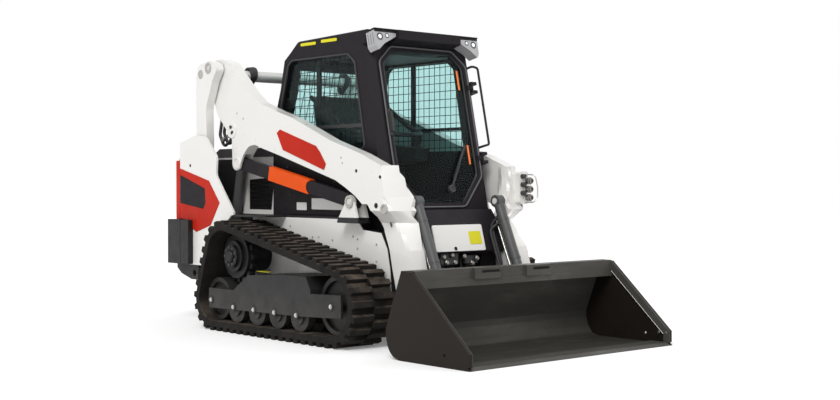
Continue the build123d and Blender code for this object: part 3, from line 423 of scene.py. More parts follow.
def closeTree(tree, source, shape, out):
    # real faces and their finish at the end of each tree
    real = add(tree, "GeometryNodeRealizeInstances", 0, {0: shape})
    painted = add(tree, "GeometryNodeSetMaterial", 0, {"Geometry": real, "Material": source["Finish"]})
    feed(tree, out, {0: painted})


def makeTubeTree(cornerSteps):
    # a round bar along each run of edges, its corners turned by an arc
    tree, source, out = newTree("tubesAlongEdges", (
        ("Radius", "Float", 0.01), ("Corner", "Float", 0.02), ("Sides", "Int", 10),
        ("Finish", "Material", None)))
    path = add(tree, "GeometryNodeMeshToCurve", 0, {"Mesh": source["Geometry"]})
    rounded = tree.nodes.new("GeometryNodeFilletCurve")
    rounded.mode = "POLY"
    feed(tree, rounded, {"Curve": path, "Count": cornerSteps, "Radius": source["Corner"], "Limit Radius": True})
    ring = add(tree, "GeometryNodeCurvePrimitiveCircle", 0, {
        "Resolution": source["Sides"], "Radius": source["Radius"]})
    bar = add(tree, "GeometryNodeCurveToMesh", 0, {
        "Curve": rounded.outputs[0], "Profile Curve": ring, "Fill Caps": True})
    closeTree(tree, source, add(tree, "GeometryNodeSetShadeSmooth", 0, {"Geometry": bar}), out)
    return tree


def makeBoltTree(washerRadius, washerHeight):
    # a hexagon head on a washer at each point, facing the way stored on the point
    tree, source, out = newTree("boltsOnPoints", (
        ("Radius", "Float", 0.01), ("Height", "Float", 0.006), ("Finish", "Material", None)))
    head = tree.nodes.new("GeometryNodeJoinGeometry")
    for corners, radius, depth in ((6, 1.0, 1.0), (20, washerRadius, washerHeight)):
        part = add(tree, "GeometryNodeMeshCylinder", 0, {"Vertices": corners, "Radius": radius, "Depth": depth})
        lift = add(tree, "GeometryNodeTransform", 0, {"Geometry": part, "Translation": (0, 0, depth / 2)})
        feed(tree, head, {0: lift})
    facing = tree.nodes.new("GeometryNodeInputNamedAttribute")
    facing.data_type = "FLOAT_VECTOR"
    feed(tree, facing, {"Name": "facing"})
    turn = tree.nodes.new("FunctionNodeAlignRotationToVector")
    turn.axis = "Z"
    feed(tree, turn, {"Vector": facing.outputs["Attribute"]})
    size = add(tree, "ShaderNodeCombineXYZ", 0, {
        "X": source["Radius"], "Y": source["Radius"], "Z": source["Height"]})
    spread = add(tree, "GeometryNodeInstanceOnPoints", 0, {
        "Points": add(tree, "GeometryNodeMeshToPoints", 0, {"Mesh": source["Geometry"]}),
        "Instance": head.outputs[0], "Rotation": turn.outputs[0], "Scale": size})
    closeTree(tree, source, spread, out)
    return tree


tubesAlongEdges = makeTubeTree(cornerSteps=6)
boltsOnPoints = makeBoltTree(washerRadius=1.35, washerHeight=0.35)


def settled(thing):
    # the plain mesh that an object's modifiers give; the modifiers are removed
    depsgraph = bpy.context.evaluated_depsgraph_get()
    made = bpy.data.meshes.new_from_object(thing.evaluated_get(depsgraph), depsgraph=depsgraph)
    thing.modifiers.clear()
    return made


def grow(mesh, tree, values):
    # runs a tree on a mesh and gives the result as a plain mesh
    holder = bpy.data.objects.new("holder", mesh)
    scene.collection.objects.link(holder)
    step = holder.modifiers.new("grow", "NODES")
    step.node_group = tree
    for socket in tree.interface.items_tree:
        if socket.item_type == "SOCKET" and socket.in_out == "INPUT" and socket.name in values:
            step[socket.identifier] = values[socket.name]
    made = settled(holder)
    bpy.data.objects.remove(holder)
    return made


def tubes(name, runs, radius, finishName, body, corner=0.0, closed=False, facets=10):
    points, edges = [], []
    for run in runs:
        first = len(points)
        points += [tuple(p) for p in run]
        edges += [(k, k + 1) for k in range(first, len(points) - 1)]
        if closed:
            edges.append((len(points) - 1, first))
    mesh = bpy.data.meshes.new(name)
    mesh.from_pydata(points, edges, [])
    values = {"Radius": radius, "Corner": corner, "Sides": facets, "Finish": finish[finishName]}
    return addPiece(name, grow(mesh, tubesAlongEdges, values), finishName, body)


def bolts(name, places, radius, height, finishName, body):
    # places: (point, facing)
    mesh = bpy.data.meshes.new(name)
    mesh.from_pydata([tuple(p) for p, _ in places], [], [])
    facing = mesh.attributes.new("facing", "FLOAT_VECTOR", "POINT")
    for k, (_, way) in enumerate(places):
        facing.data[k].vector = way
    values = {"Radius": radius, "Height": height, "Finish": finish[finishName]}
    return addPiece(name, grow(mesh, boltsOnPoints, values), finishName, body)


def closeMesh(name, made, rounding=0.0):
    # the faces made so far as a mesh, facing out
    bmesh.ops.recalc_face_normals(made, faces=made.faces)
    if rounding:
        bmesh.ops.bevel(made, geom=made.edges[:], offset=rounding, segments=4, profile=0.5, affect="EDGES")
    mesh = bpy.data.meshes.new(name)
    made.to_mesh(mesh)
    made.free()
    return mesh


sharpFrom = 35      # degrees; edges that turn less are shaded as one surface


def turned(name, rows, finishName, body, steps=36):
    # rows: (centre, facing, profile); a profile is (radius, along) from the back's middle to the face's middle
    made = bmesh.new()
    for centre, way, profile in rows:
        lay = Vector(way).normalized().to_track_quat("Z", "Y").to_matrix()
        rings = []
        for radius, along in profile:
            turns = [2 * math.pi * k / steps for k in range(steps)] if radius else [0]
            spots = [Vector((radius * math.cos(a), radius * math.sin(a), along)) for a in turns]
            rings.append([made.verts.new(Vector(centre) + lay @ spot) for spot in spots])
        for low, high in zip(rings, rings[1:]):
            for k in range(steps):
                a, b = low[k % len(low)], low[(k + 1) % len(low)]
                c, d = high[(k + 1) % len(high)], high[k % len(high)]
                made.faces.new(list(dict.fromkeys((a, b, c, d))))
    return addPiece(name, closeMesh(name, made), finishName, body, sharpFrom)


def plates(name, rows, finishName, body, cornerSteps=4):
    # rows: (centre, across, up, width, height, thickness, corner radius)
    made = bmesh.new()
    for centre, across, up, width, height, thick, corner in rows:
        across, up = Vector(across).normalized(), Vector(up).normalized()
        out = across.cross(up)
        loop = []
        for k, (sx, sy) in enumerate(((1, 1), (-1, 1), (-1, -1), (1, -1))):
            for step in range(cornerSteps + 1):
                a = math.radians(90 * (k + step / cornerSteps))
                x = sx * (width / 2 - corner) + corner * math.cos(a)
                y = sy * (height / 2 - corner) + corner * math.sin(a)
                loop.append(Vector(centre) + across * x + up * y)
        back = [made.verts.new(p) for p in loop]
        front = [made.verts.new(p + out * thick) for p in loop]
        made.faces.new(front)
        made.faces.new(back[::-1])
        for k in range(len(loop)):
            j = (k + 1) % len(loop)
            made.faces.new((back[k], back[j], front[j], front[k]))
    return addPiece(name, closeMesh(name, made), finishName, body, sharpFrom)


# profiles
def disc(radius, height, edge=0.002, back=0.004):
    # a flat round head with a small chamfer, sunk a little at its back
    return [(0, -back), (radius, -back), (radius, height - edge), (radius - edge, height), (0, height)]


def dab(radius, height=0.0008):
    # a disc hardly thicker than paint
    return disc(radius, height, 0.0003, 0.001)


def rimmed(radius, inner, height, depth, edge=0.002, back=0.004):
    # a round boss with a sunk middle
    return [(0, -back), (radius, -back), (radius, height - edge), (radius - edge, height), (inner, height),
        (inner, height - depth), (0, height - depth)]


def gland(inner, outer, length, edge=0.004, taper=0.0035):
    # the ring that a rod comes out of
    return [(inner, -length), (outer, -length), (outer, -edge), (outer - taper, 0.0), (inner, 0.0),
        (inner, -length)]


# places
def sideSpots(x, places, way=1):
    # (point, facing) on both sides, facing out, or in for way -1
    return [((s * x, y, z), (s * way, 0, 0)) for s in sides for y, z in places]


def shaped(found, profile):
    return [(spot, way, profile) for spot, way in found]


def sideRows(x, place, profile):
    return shaped(sideSpots(x, [place]), profile)


def sidePanels(form):
    # plates on both sides; form's rows are (y, z, width, height)
    return [((s * form["x"], y, z), (0, s, 0), (0, 0, 1), wide, tall, form["thick"], form["corner"])
        for s in sides for y, z, wide, tall in form["rows"]]


def withMirror(points):
    # a line from one side to the other, from the points of one side
    return [*points, *(Vector((-p[0], p[1], p[2])) for p in points[::-1])]


def wayTo(start, end):
    # from one (y, z) place to another
    return Vector((0, end[0] - start[0], end[1] - start[1])).normalized()


def skinOf(node):
    mesh = nodes[node].data
    return BVHTree.FromPolygons([v.co for v in mesh.vertices], [p.vertices[:] for p in mesh.polygons])


def onSide(skin, y, z, side, proud=0.0005):
    # the outermost point of a part at a height and length, and the way its face looks
    spot, way, _, _ = skin.ray_cast(Vector((side * 2, y, z)), Vector((-side, 0, 0)))
    return spot + way * proud, way


def onRear(skin, x, z):
    # the rearmost point of a part, and the way its face looks
    spot, way, _, _ = skin.ray_cast(Vector((x, 3, z)), Vector((0, -1, 0)))
    return spot, way


def sideAt(node, places, among=sides):
    skin = skinOf(node)
    return [onSide(skin, y, z, side) for side in among for y, z in places]


print("stage: ways of making pieces")


# cab
cab = {
    # y and z of a point of the front plane, and its lean per metre of drop
    "frontAt": (-0.368, 1.670), "slope": 0.22,
    "sideX": 0.446,
    "window": [(-0.300, 1.225), (-0.190, 1.790), (-0.120, 1.845), (0.500, 1.845), (0.545, 1.815), (0.628, 1.545),
        (0.640, 1.380), (0.600, 1.225)],
    "rearLine": [(0.572, 1.790), (0.612, 1.650), (0.650, 1.545), (0.676, 1.465), (0.698, 1.300)], "rearX": 0.325,
}
frontTilt = math.atan(cab["slope"])
frontOut = Vector((0, -math.cos(frontTilt), math.sin(frontTilt)))
frontUp = Vector((0, math.sin(frontTilt), math.cos(frontTilt)))


def onFront(x, z, proud):
    y = cab["frontAt"][0] - (cab["frontAt"][1] - z) * cab["slope"]
    return Vector((x, y, z)) + frontOut * proud


def crossings(outline, axis, value):
    # where the line axis = value meets an outline, in order along the other axis
    hits = []
    for a, b in zip(outline, outline[1:] + outline[:1]):
        if (a[axis] - value) * (b[axis] - value) < 0:
            t = (value - a[axis]) / (b[axis] - a[axis])
            hits.append(a[1 - axis] + t * (b[1 - axis] - a[1 - axis]))
    return sorted(hits)


guard = {"pitch": 0.056, "wire": 0.0026, "x": 0.4125, "weave": 0.004, "rearGap": 0.012, "rearFrom": 0.01}


def sideGuards():
    runs = []
    for axis in (0, 1):
        low, high = min(p[axis] for p in cab["window"]), max(p[axis] for p in cab["window"])
        value = low + guard["pitch"] / 2
        while value < high:
            ends = crossings(cab["window"], axis, value)
            if len(ends) == 2:
                for side in sides:
                    x = side * (guard["x"] - guard["weave"] * axis)
                    runs.append([(x, value, e) if axis == 0 else (x, e, value) for e in ends])
            value += guard["pitch"]
    return runs


def rearGuards():
    runs = []
    back = [(y - guard["rearGap"], z) for y, z in cab["rearLine"]]
    top, bottom = back[0][1], back[-1][1]
    for k in range(int(2 * cab["rearX"] / guard["pitch"]) + 1):
        x = -cab["rearX"] + k * guard["pitch"]
        runs.append([(x, y, z) for y, z in back])
    z = bottom + guard["rearFrom"]
    while z < top:
        y = crossings(back + [(0, bottom), (0, top)], 1, z)[-1] - guard["weave"]
        runs.append([(-cab["rearX"], y, z), (cab["rearX"], y, z)])
        z += guard["pitch"]
    return runs


tubes("windowGuards", sideGuards() + rearGuards(), guard["wire"], "grille", "machine", facets=5)

seal = {"x": cab["sideX"] + 0.001, "radius": 0.007, "corner": 0.035}
tubes("windowSeals", [[(s * seal["x"], y, z) for y, z in cab["window"]] for s in sides], seal["radius"],
    "plastic", "machine", corner=seal["corner"], closed=True, facets=8)

roofMarks = {"x": cab["sideX"] + 0.0005, "rows": [(0.315, 1.944, 0.172, 0.020), (0.085, 1.950, 0.172, 0.020)],
    "thick": 0.002, "corner": 0.008}
plates("roofMarks", sidePanels(roofMarks), "yellow", "machine")

# hoods over the work lamps, each a top and an inner cheek
hood = {"from": 0.262, "to": 0.4505, "top": 1.9665, "thick": 0.007, "deep": 0.092, "proud": 0.001,
    "corner": 0.006, "drop": 0.045, "cheekIn": 0.003, "cheek": 0.006}
hoodRows = []
for s in sides:
    middle, deep, corner = hood["proud"] + hood["deep"] / 2, hood["deep"], hood["corner"]
    top = onFront(s * (hood["from"] + hood["to"]) / 2, hood["top"], middle)
    cheek = onFront(s * (hood["from"] + hood["cheekIn"]), hood["top"] - hood["drop"] / 2, middle)
    hoodRows.append((top, (1, 0, 0), -frontOut, hood["to"] - hood["from"], deep, hood["thick"], corner))
    hoodRows.append((cheek, frontOut * -s, frontUp, deep, hood["drop"], hood["cheek"], corner))
plates("lampHoods", hoodRows, "grille", "machine")

# what shows on the front and outer face of each work lamp
lampFace = {"proud": 0.0852, "brow": (0.358, 1.959), "browSize": (0.176, 0.015, 0.0015, 0.003),
    "cells": [(0.405, 1.922, 0.025), (0.345, 1.930, 0.017)], "ringShare": 0.86, "bowlShare": 0.55,
    "barX": 0.4462, "bars": (0.018, 0.042, 0.066), "barFrom": 1.948, "barTo": 1.876, "barRadius": 0.0016}
lampCells = [(s * x, z, r) for s in sides for x, z, r in lampFace["cells"]]
browX, browZ = lampFace["brow"]
plates("lampBrows", [(onFront(s * browX, browZ, lampFace["proud"]), (1, 0, 0), frontUp, *lampFace["browSize"])
    for s in sides], "grille", "machine")
turned("lampCells", [
    (onFront(x, z, lampFace["proud"]), frontOut, rimmed(r, r * lampFace["ringShare"], 0.0016, 0.0014))
    for x, z, r in lampCells], "cylinder", "machine")
turned("lampBowls", [(onFront(x, z, lampFace["proud"] + 0.0004), frontOut, dab(r * lampFace["bowlShare"]))
        for x, z, r in lampCells], "chrome", "machine")
tubes("lampBars", [[onFront(s * lampFace["barX"], z, d) for z in (lampFace["barFrom"], lampFace["barTo"])]
        for s in sides for d in lampFace["bars"]],
    lampFace["barRadius"], "cylinder", "machine", facets=6)

# rail across the sliding pane, and the seat bar inside
rail = {"x": 0.4283, "rows": [(-0.0135, 1.382, 0.497, 0.022)], "thick": 0.010, "corner": 0.003}
plates("windowRails", sidePanels(rail), "plastic", "machine")
seatBar = {"radius": 0.017, "corner": 0.05,
    "line": [(0.300, 0.480, 1.600), (0.300, 0.150, 1.400), (0.285, -0.010, 1.345), (0.180, -0.035, 1.340)]}
tubes("seatBar", [withMirror(seatBar["line"])], seatBar["radius"], "plastic", "machine",
    corner=seatBar["corner"])

# door
door = {"line": [(0.190, 0.856), (0.375, 1.055), (0.375, 1.790), (0.262, 1.890)], "corner": 0.06,
    "rimProud": 0.008, "rimRadius": 0.0055, "sealProud": -0.003, "sealRadius": 0.007,
    "sealX": 0.905, "sealZ": (0.034, 0.976)}
rimLine = [onFront(x, z, door["rimProud"]) for x, z in door["line"]]
sealLine = [onFront(x * door["sealX"], door["sealZ"][0] + z * door["sealZ"][1], door["sealProud"])
    for x, z in door["line"]]
tubes("doorRim", [withMirror(rimLine)], door["rimRadius"], "rim", "cab_door",
    corner=door["corner"], closed=True)
tubes("doorInnerSeal", [withMirror(sealLine)], door["sealRadius"], "plastic", "cab_door",
    corner=door["corner"], closed=True)

doorMarks = {"width": 0.016, "rows": [(0.300, 1.700, 0.135), (0.298, 1.200, 0.130)], "proud": -0.0058}
plates("doorMarks", [
    (onFront(x, z, doorMarks["proud"]), (1, 0, 0), frontUp, doorMarks["width"], tall, 0.001, 0.003)
    for x, z, tall in doorMarks["rows"]], "marker", "cab_door")

wiper = {"arms": [[(0.095, 0.985, 0.014), (0.168, 1.110, 0.020), (0.205, 1.185, 0.012)],
        [(0.075, 0.962, 0.012), (0.148, 1.085, 0.018)]], "armRadius": 0.0045,
    "bladeFrom": (0.125, 1.040), "bladeTo": (0.258, 1.255), "blade": (0.26, 0.012, 0.012, 0.003),
    "motor": (0.090, 0.972)}
tubes("wiperArm", [[onFront(*spot) for spot in arm] for arm in wiper["arms"]], wiper["armRadius"],
    "plastic", "cab_door", corner=0.02)
bladeFrom, bladeTo = onFront(*wiper["bladeFrom"], 0.0), onFront(*wiper["bladeTo"], 0.0)
bladeWay = bladeTo - bladeFrom
plates("wiperBlade", [((bladeFrom + bladeTo) / 2, bladeWay, frontOut.cross(bladeWay), *wiper["blade"])],
    "plastic", "cab_door")
turned("wiperMotor", [(onFront(*wiper["motor"], 0.0), frontOut, rimmed(0.026, 0.014, 0.018, 0.006))],
    "grey", "cab_door")
print("stage: cab")

# pins and bosses of the lift linkage; the bosses in the darker copy of the white paint carry painted shade
linkage = {"tip": (1.240, 1.832), "lug": (1.343, 1.792), "lobe": (0.989, 1.152), "control": (-0.310, 0.893),
    "rod": (1.046, 1.385), "rodBolts": [(1.058, 1.408), (1.040, 1.366)],
    "linkX": 0.655, "armX": 0.582, "boltX": 0.5835, "controlX": 0.561}
turned("linkBosses", sideRows(linkage["linkX"], linkage["tip"], rimmed(0.040, 0.024, 0.006, 0.005))
    + sideRows(linkage["linkX"], linkage["lug"], rimmed(0.034, 0.026, 0.0015, 0.0012)),
    "shade", "rear_links")
turned("linkPins", sideRows(linkage["linkX"], linkage["tip"], disc(0.022, 0.004)),
    "steel", "rear_links")
turned("armBosses", sideRows(linkage["armX"], linkage["rod"], rimmed(0.058, 0.030, 0.005, 0.0035))
    + sideRows(linkage["armX"], linkage["lobe"], rimmed(0.045, 0.027, 0.004, 0.0038)),
    "white", "lift_arm")
bolts("armPinBolts", sideSpots(linkage["boltX"], linkage["rodBolts"]), 0.011, 0.008,
    "grey", "lift_arm")
turned("controlBosses", sideRows(linkage["controlX"], linkage["control"], rimmed(0.042, 0.027, 0.016, 0.008)),
    "shade", "control_links")
turned("controlPins", sideRows(linkage["controlX"], linkage["control"], disc(0.024, 0.013)),
    "steel", "control_links")
bracket = sideAt("main_frame", [linkage["control"]])
turned("bracketBosses", shaped(bracket, rimmed(0.040, 0.025, 0.010, 0.006)), "shade", "machine")
turned("bracketPins", shaped(bracket, disc(0.022, 0.008)), "steel", "machine")

# holes, spots and bosses set on the arm's own skin; black discs and a black slot plate are painted shade inside
# holes and a slot, and the spots and knee bosses take the darker white, painted shade
armMarks = {"holes": [(-0.378, 1.087), (-0.614, 1.048)], "holeRadius": 0.011,
    "spots": [(-0.22, 1.172), (-0.235, 1.138), (0.98, 1.50), (0.90, 1.46)], "spotRadius": 0.007,
    "kneeBoss": (-0.655, 0.852), "kneeHole": (-0.575, 0.872), "kneeRadius": 0.017,
    "slot": (-0.622, 0.768), "slotUp": Vector((0, -0.42, -0.90)), "slotSize": (0.018, 0.062, 0.0008, 0.008)}
armSkins = {1: skinOf("arm_left"), -1: skinOf("arm_right")}


def onArm(places):
    return [onSide(armSkins[s], y, z, s) for s in sides for y, z in places]


turned("armHoleShades", shaped(onArm(armMarks["holes"]), dab(armMarks["holeRadius"])),
    "grille", "lift_arm")
turned("armSpots", shaped(onArm(armMarks["spots"]), dab(armMarks["spotRadius"], 0.001)),
    "shade", "lift_arm")
turned("kneeBosses", [(spot, (math.copysign(1, way.x), 0, 0), rimmed(0.032, 0.020, 0.008, 0.006))
        for spot, way in onArm([armMarks["kneeBoss"]])], "shade", "lift_arm")
turned("kneeHoleShades", shaped(onArm([armMarks["kneeHole"]]), dab(armMarks["kneeRadius"], 0.001)),
    "grille", "lift_arm")
plates("kneeSlotShades", [(spot, armMarks["slotUp"].cross(way), armMarks["slotUp"], *armMarks["slotSize"])
        for spot, way in onArm([armMarks["slot"]])], "grille", "lift_arm")


# hoses over the rear cross tube and at the arm's heel
def hoseRuns(form):
    # hoses side by side on both sides, each shifted by a step in y and z from the one before
    return [[(s * x, y + form["step"][0] * k, z + form["step"][1] * k) for y, z in form["line"]]
        for s in sides for k, x in enumerate(form["x"])]


tubeHoses = {"radius": 0.012, "corner": 0.03, "x": (0.405, 0.420, 0.435), "step": (0.006, -0.002),
    "line": [(1.075, 1.700), (1.000, 1.770), (1.005, 1.822), (1.060, 1.832), (1.105, 1.790), (1.085, 1.690)]}
armLoops = {"radius": 0.0115, "corner": 0.035, "x": (0.528, 0.555), "step": (0.012, -0.014),
    "line": [(1.205, 1.475), (1.232, 1.370), (1.175, 1.285), (1.100, 1.320), (1.060, 1.375)],
    "endX": 0.560, "ends": [((1.187, 1.322), 0.017, 0.014), ((1.118, 1.345), 0.014, 0.012)]}
for name, form in (("tubeHoses", tubeHoses), ("armLoops", armLoops)):
    tubes(name, hoseRuns(form), form["radius"], "hose", "lift_arm", corner=form["corner"])
turned("armLoopEnds", [row for place, radius, height in armLoops["ends"]
        for row in sideRows(armLoops["endX"], place, disc(radius, height))],
    "dullSteel", "lift_arm")

# attachment couplers on the left knee
couplers = {"x": 0.548, "face": -0.795, "zs": (0.915, 0.970, 1.025),
    "shape": [(0, -0.03), (0.021, -0.03), (0.021, -0.012), (0.0245, -0.010), (0.0245, -0.002), (0.019, 0.0),
        (0.019, 0.010), (0.012, 0.012), (0.012, 0.002), (0, 0.002)],
    "capX": 0.518, "capY": -0.752, "capRise": 0.030,
    "cap": [(0, -0.008), (0.015, -0.008), (0.015, 0.022), (0.012, 0.026), (0, 0.026)],
    "loopRadius": 0.0045, "loopCorner": 0.03,
    "loop": [(0.555, -0.742, 1.068), (0.575, -0.812, 1.066), (0.592, -0.818, 0.985), (0.592, -0.818, 0.915),
        (0.570, -0.808, 0.884), (0.545, -0.742, 0.884)]}
turned("attachmentCouplers", [((couplers["x"], couplers["face"], z), (0, -1, 0), couplers["shape"])
        for z in couplers["zs"]], "dullSteel", "lift_arm")
turned("couplerCaps", [
    ((couplers["capX"], couplers["capY"], z + couplers["capRise"]), (0, -1, 0), couplers["cap"])
    for z in couplers["zs"]], "grey", "lift_arm")
tubes("couplerLoop", [couplers["loop"]], couplers["loopRadius"], "steel", "lift_arm",
    corner=couplers["loopCorner"])

# tilt cylinders: gland, clamp bands, steel pipe and hoses behind each barrel
tilt = {"head": (-0.690, 0.893), "eye": (-0.930, 0.350), "x": 0.350, "length": 0.488,
    "band": [(0.0331, -0.009), (0.0352, -0.009), (0.0352, 0.009), (0.0331, 0.009), (0.0331, -0.009)],
    "bandAt": (0.13, 0.40),
    "port": (0.100, 0.030), "portWay": (0, 0.915, -0.404),
    # distance along, behind and inward of the barrel's middle line
    "pipe": [(0.100, 0.030, 0.004), (0.115, 0.058, 0.006), (0.430, 0.058, 0.006), (0.445, 0.030, 0.004)],
    "hoses": [[(0.105, 0.036, 0.020), (0.135, 0.080, 0.044), (0.40, 0.085, 0.050), (0.45, 0.120, 0.058)],
        [(0.14, 0.036, 0.020), (0.17, 0.080, 0.068), (0.43, 0.085, 0.074), (0.48, 0.120, 0.082)]]}
tiltRun = wayTo(tilt["head"], tilt["eye"])


def onTilt(s, distance, behind=0.0, inward=0.0):
    back = Vector((0, tiltRun.z, -tiltRun.y)) * -behind
    return Vector((s * (tilt["x"] - inward), *tilt["head"])) + tiltRun * distance + back


turned("tiltGlands", [(onTilt(s, tilt["length"]), tiltRun, gland(0.0195, 0.0355, 0.030)) for s in sides],
    "grey", "tilt_cylinder_barrels")
turned("tiltBands", [(onTilt(s, d), tiltRun, tilt["band"]) for s in sides for d in tilt["bandAt"]],
    "cylinder", "tilt_cylinder_barrels")
tubes("tiltPipes", [[onTilt(s, *spot) for spot in tilt["pipe"]] for s in sides], 0.008,
    "steel", "tilt_cylinder_barrels", corner=0.02)
turned("tiltPorts", [(onTilt(s, *tilt["port"]), tilt["portWay"], disc(0.015, 0.022)) for s in sides],
    "steel", "tilt_cylinder_barrels")
tubes("tiltHoses", [[onTilt(s, *spot) for spot in hose] for s in sides for hose in tilt["hoses"]], 0.0105,
    "hose", "tilt_cylinder_barrels", corner=0.04)

# lift cylinders: gland ring at the rod's end
lift = {"foot": (1.255, 0.500), "eye": (1.046, 1.385), "x": 0.455, "length": 0.720}
liftRun = wayTo(lift["foot"], lift["eye"])
turned("liftGlands", [(Vector((s * lift["x"], *lift["foot"])) + liftRun * lift["length"], liftRun,
            gland(0.0225, 0.0395, 0.035)) for s in sides], "grey", "lift_cylinder_barrels")
print("stage: lift linkage")

# front of the body
cover = {"top": (-0.674, 0.741), "bottom": (-0.724, 0.575), "plateAt": (0.138, 0.660),
    "plate": (0.105, 0.086, 0.0012, 0.005), "boltAt": (-0.048, 0.596)}
coverUp = wayTo(cover["bottom"], cover["top"])
coverOut = Vector((1, 0, 0)).cross(coverUp)


def onCover(x, z):
    t = (cover["top"][1] - z) / (cover["top"][1] - cover["bottom"][1])
    return Vector((x, cover["top"][0] + t * (cover["bottom"][0] - cover["top"][0]), z))


plates("coverPlate", [(onCover(*cover["plateAt"]), (1, 0, 0), coverUp, *cover["plate"])],
    "yellow", "machine")
bolts("coverBolt", [(onCover(*cover["boltAt"]), coverOut)], 0.009, 0.005, "grille", "machine")

# valve blocks, steel fittings and their hoses under the cover
fittings = {"spots": [(-0.125, 0.545), (-0.060, 0.555), (-0.110, 0.510), (-0.030, 0.508), (0.045, 0.545),
        (0.150, 0.530), (0.120, 0.500)], "y": -0.700, "way": (0, -1, 0.25), "stagger": 0.006,
    "shape": [(0, -0.06), (0.013, -0.06), (0.013, -0.02), (0.018, -0.018), (0.018, -0.004), (0.012, 0.0),
        (0, 0.0)],
    "blockY": -0.666, "blocks": [(-0.075, 0.530, 0.150, 0.072, 0.022), (0.120, 0.520, 0.110, 0.050, 0.016)],
    "lineRadius": 0.009}
plates("frontValve", [((x, fittings["blockY"], z), (1, 0, 0), (0, 0, 1), wide, tall, thick, 0.006)
        for x, z, wide, tall, thick in fittings["blocks"]], "cylinder", "machine")
turned("frontFittings", [
    ((x, fittings["y"] - fittings["stagger"] * (k % 3), z), fittings["way"], fittings["shape"])
    for k, (x, z) in enumerate(fittings["spots"])], "dullSteel", "machine", 6)
tubes("frontLines", [[(x, fittings["y"] + 0.05, z), (x + 0.012, fittings["y"] + 0.045, 0.455),
            (x * 0.6, -0.600, 0.400)] for x, z in fittings["spots"]],
    fittings["lineRadius"], "hose", "machine", corner=0.03)

# side of the body
panel = {"rivets": [(0.196, 0.653), (0.127, 0.655), (-0.023, 0.640), (-0.240, 0.670), (-0.286, 0.655),
        (-0.286, 0.595), (-0.478, 0.627), (-0.478, 0.520), (0.45, 0.72), (0.70, 0.74)],
    "x": 0.4522, "rows": [(0.385, 0.854, 0.115, 0.052), (0.061, 0.872, 0.420, 0.074)],
    "thick": 0.001, "corner": 0.006,
    "bolts": [(0.52, 0.93), (0.30, 1.02), (0.02, 1.02), (-0.22, 0.98), (-0.22, 0.88), (0.55, 1.12),
        (-0.28, 1.12)]}
# the rivets take the darker copy of the white paint, painted shade
bolts("panelRivets", sideAt("body_side_panels", panel["rivets"]), 0.006, 0.003,
    "shade", "machine")
plates("sidePlates", sidePanels(panel), "white", "machine")
bolts("cabSideBolts", sideSpots(panel["x"], panel["bolts"]), 0.0065, 0.004, "grey", "machine")
# a black sheet on the side of the engine bay, painted shade where the bay lies dark behind the tower
bayShadePlate = {"x": 0.4102, "rows": [(1.365, 0.990, 0.400, 0.385)], "thick": 0.0015, "corner": 0.020}
plates("bayShadePlates", sidePanels(bayShadePlate), "grille", "machine")
weightCheek = {"x": 0.6805, "rows": [(1.462, 0.584, 0.104, 0.320)], "thick": 0.0415, "corner": 0.010}
plates("weightCheeks", sidePanels(weightCheek), "black", "machine")
# a black disc on the tower, painted shade inside a hole
tower = {"x": 0.6802, "hole": (1.447, 1.137), "radius": 0.011}
turned("towerHoleShades", sideRows(tower["x"], tower["hole"], dab(tower["radius"])),
    "grille", "machine")
print("stage: body")

# undercarriage
hubs = {"x": 0.770, "sprocket": (0.775, 0.510), "ring": 0.062, "count": 9,
    "cap": [(0, -0.004), (0.042, -0.004), (0.042, 0.010), (0.034, 0.018), (0, 0.018)]}
hubTurns = [2 * math.pi * k / hubs["count"] for k in range(hubs["count"])]
hubRing = [(hubs["sprocket"][0] + hubs["ring"] * math.cos(a), hubs["sprocket"][1] + hubs["ring"] * math.sin(a))
    for a in hubTurns]
bolts("sprocketBolts", sideSpots(hubs["x"], hubRing), 0.009, 0.008, "grey", "machine")
turned("sprocketCaps", sideRows(hubs["x"], hubs["sprocket"], hubs["cap"]), "black", "machine")
trackFrame = {"bolts": [(0.649, 0.176), (0.406, 0.176), (0.167, 0.176), (-0.076, 0.176), (0.926, 0.208),
        (-0.440, 0.256)], "plateAt": (0.780, 0.350, 0.4262), "plate": (0.036, 0.130, 0.002, 0.004)}
frameSpots = (sideAt("track_frame_left", trackFrame["bolts"], (1,))
    + sideAt("track_frame_right", trackFrame["bolts"], (-1,)))
bolts("frameBolts", frameSpots, 0.011, 0.007, "steel", "machine")
turned("frameRings", shaped(frameSpots, rimmed(0.030, 0.019, 0.004, 0.003)), "black", "machine")
plateX, plateY, plateZ = trackFrame["plateAt"]
plates("framePlates", [
    ((s * plateX, plateY, plateZ), (s, 0, 0), (0, s, 0), *trackFrame["plate"]) for s in sides],
    "yellow", "machine")
print("stage: undercarriage")

# bucket
bucketMarks = {"x": 0.8629, "bolts": [(-1.624, 0.060), (-1.677, 0.060)],
    "innerX": 0.8355, "innerBolts": [(-1.634, 0.079), (-1.689, 0.079)],
    "seamX": 0.8360, "seam": [(-1.213, 0.4695), (-1.669, 0.0700)], "seamRadius": 0.0024,
    "couplerX": 0.560, "couplerBolts": [(-0.90, 0.22), (-1.00, 0.30)]}
bolts("bucketBolts", sideSpots(bucketMarks["x"], bucketMarks["bolts"]), 0.008, 0.0005,
    "steel", "bucket")
bolts("innerBolts", sideSpots(bucketMarks["innerX"], bucketMarks["innerBolts"], -1), 0.007, 0.003,
    "steel", "bucket")
tubes("bucketSeams", [[(s * bucketMarks["seamX"], y, z) for y, z in bucketMarks["seam"]] for s in sides],
    bucketMarks["seamRadius"], "tube", "bucket", facets=8)
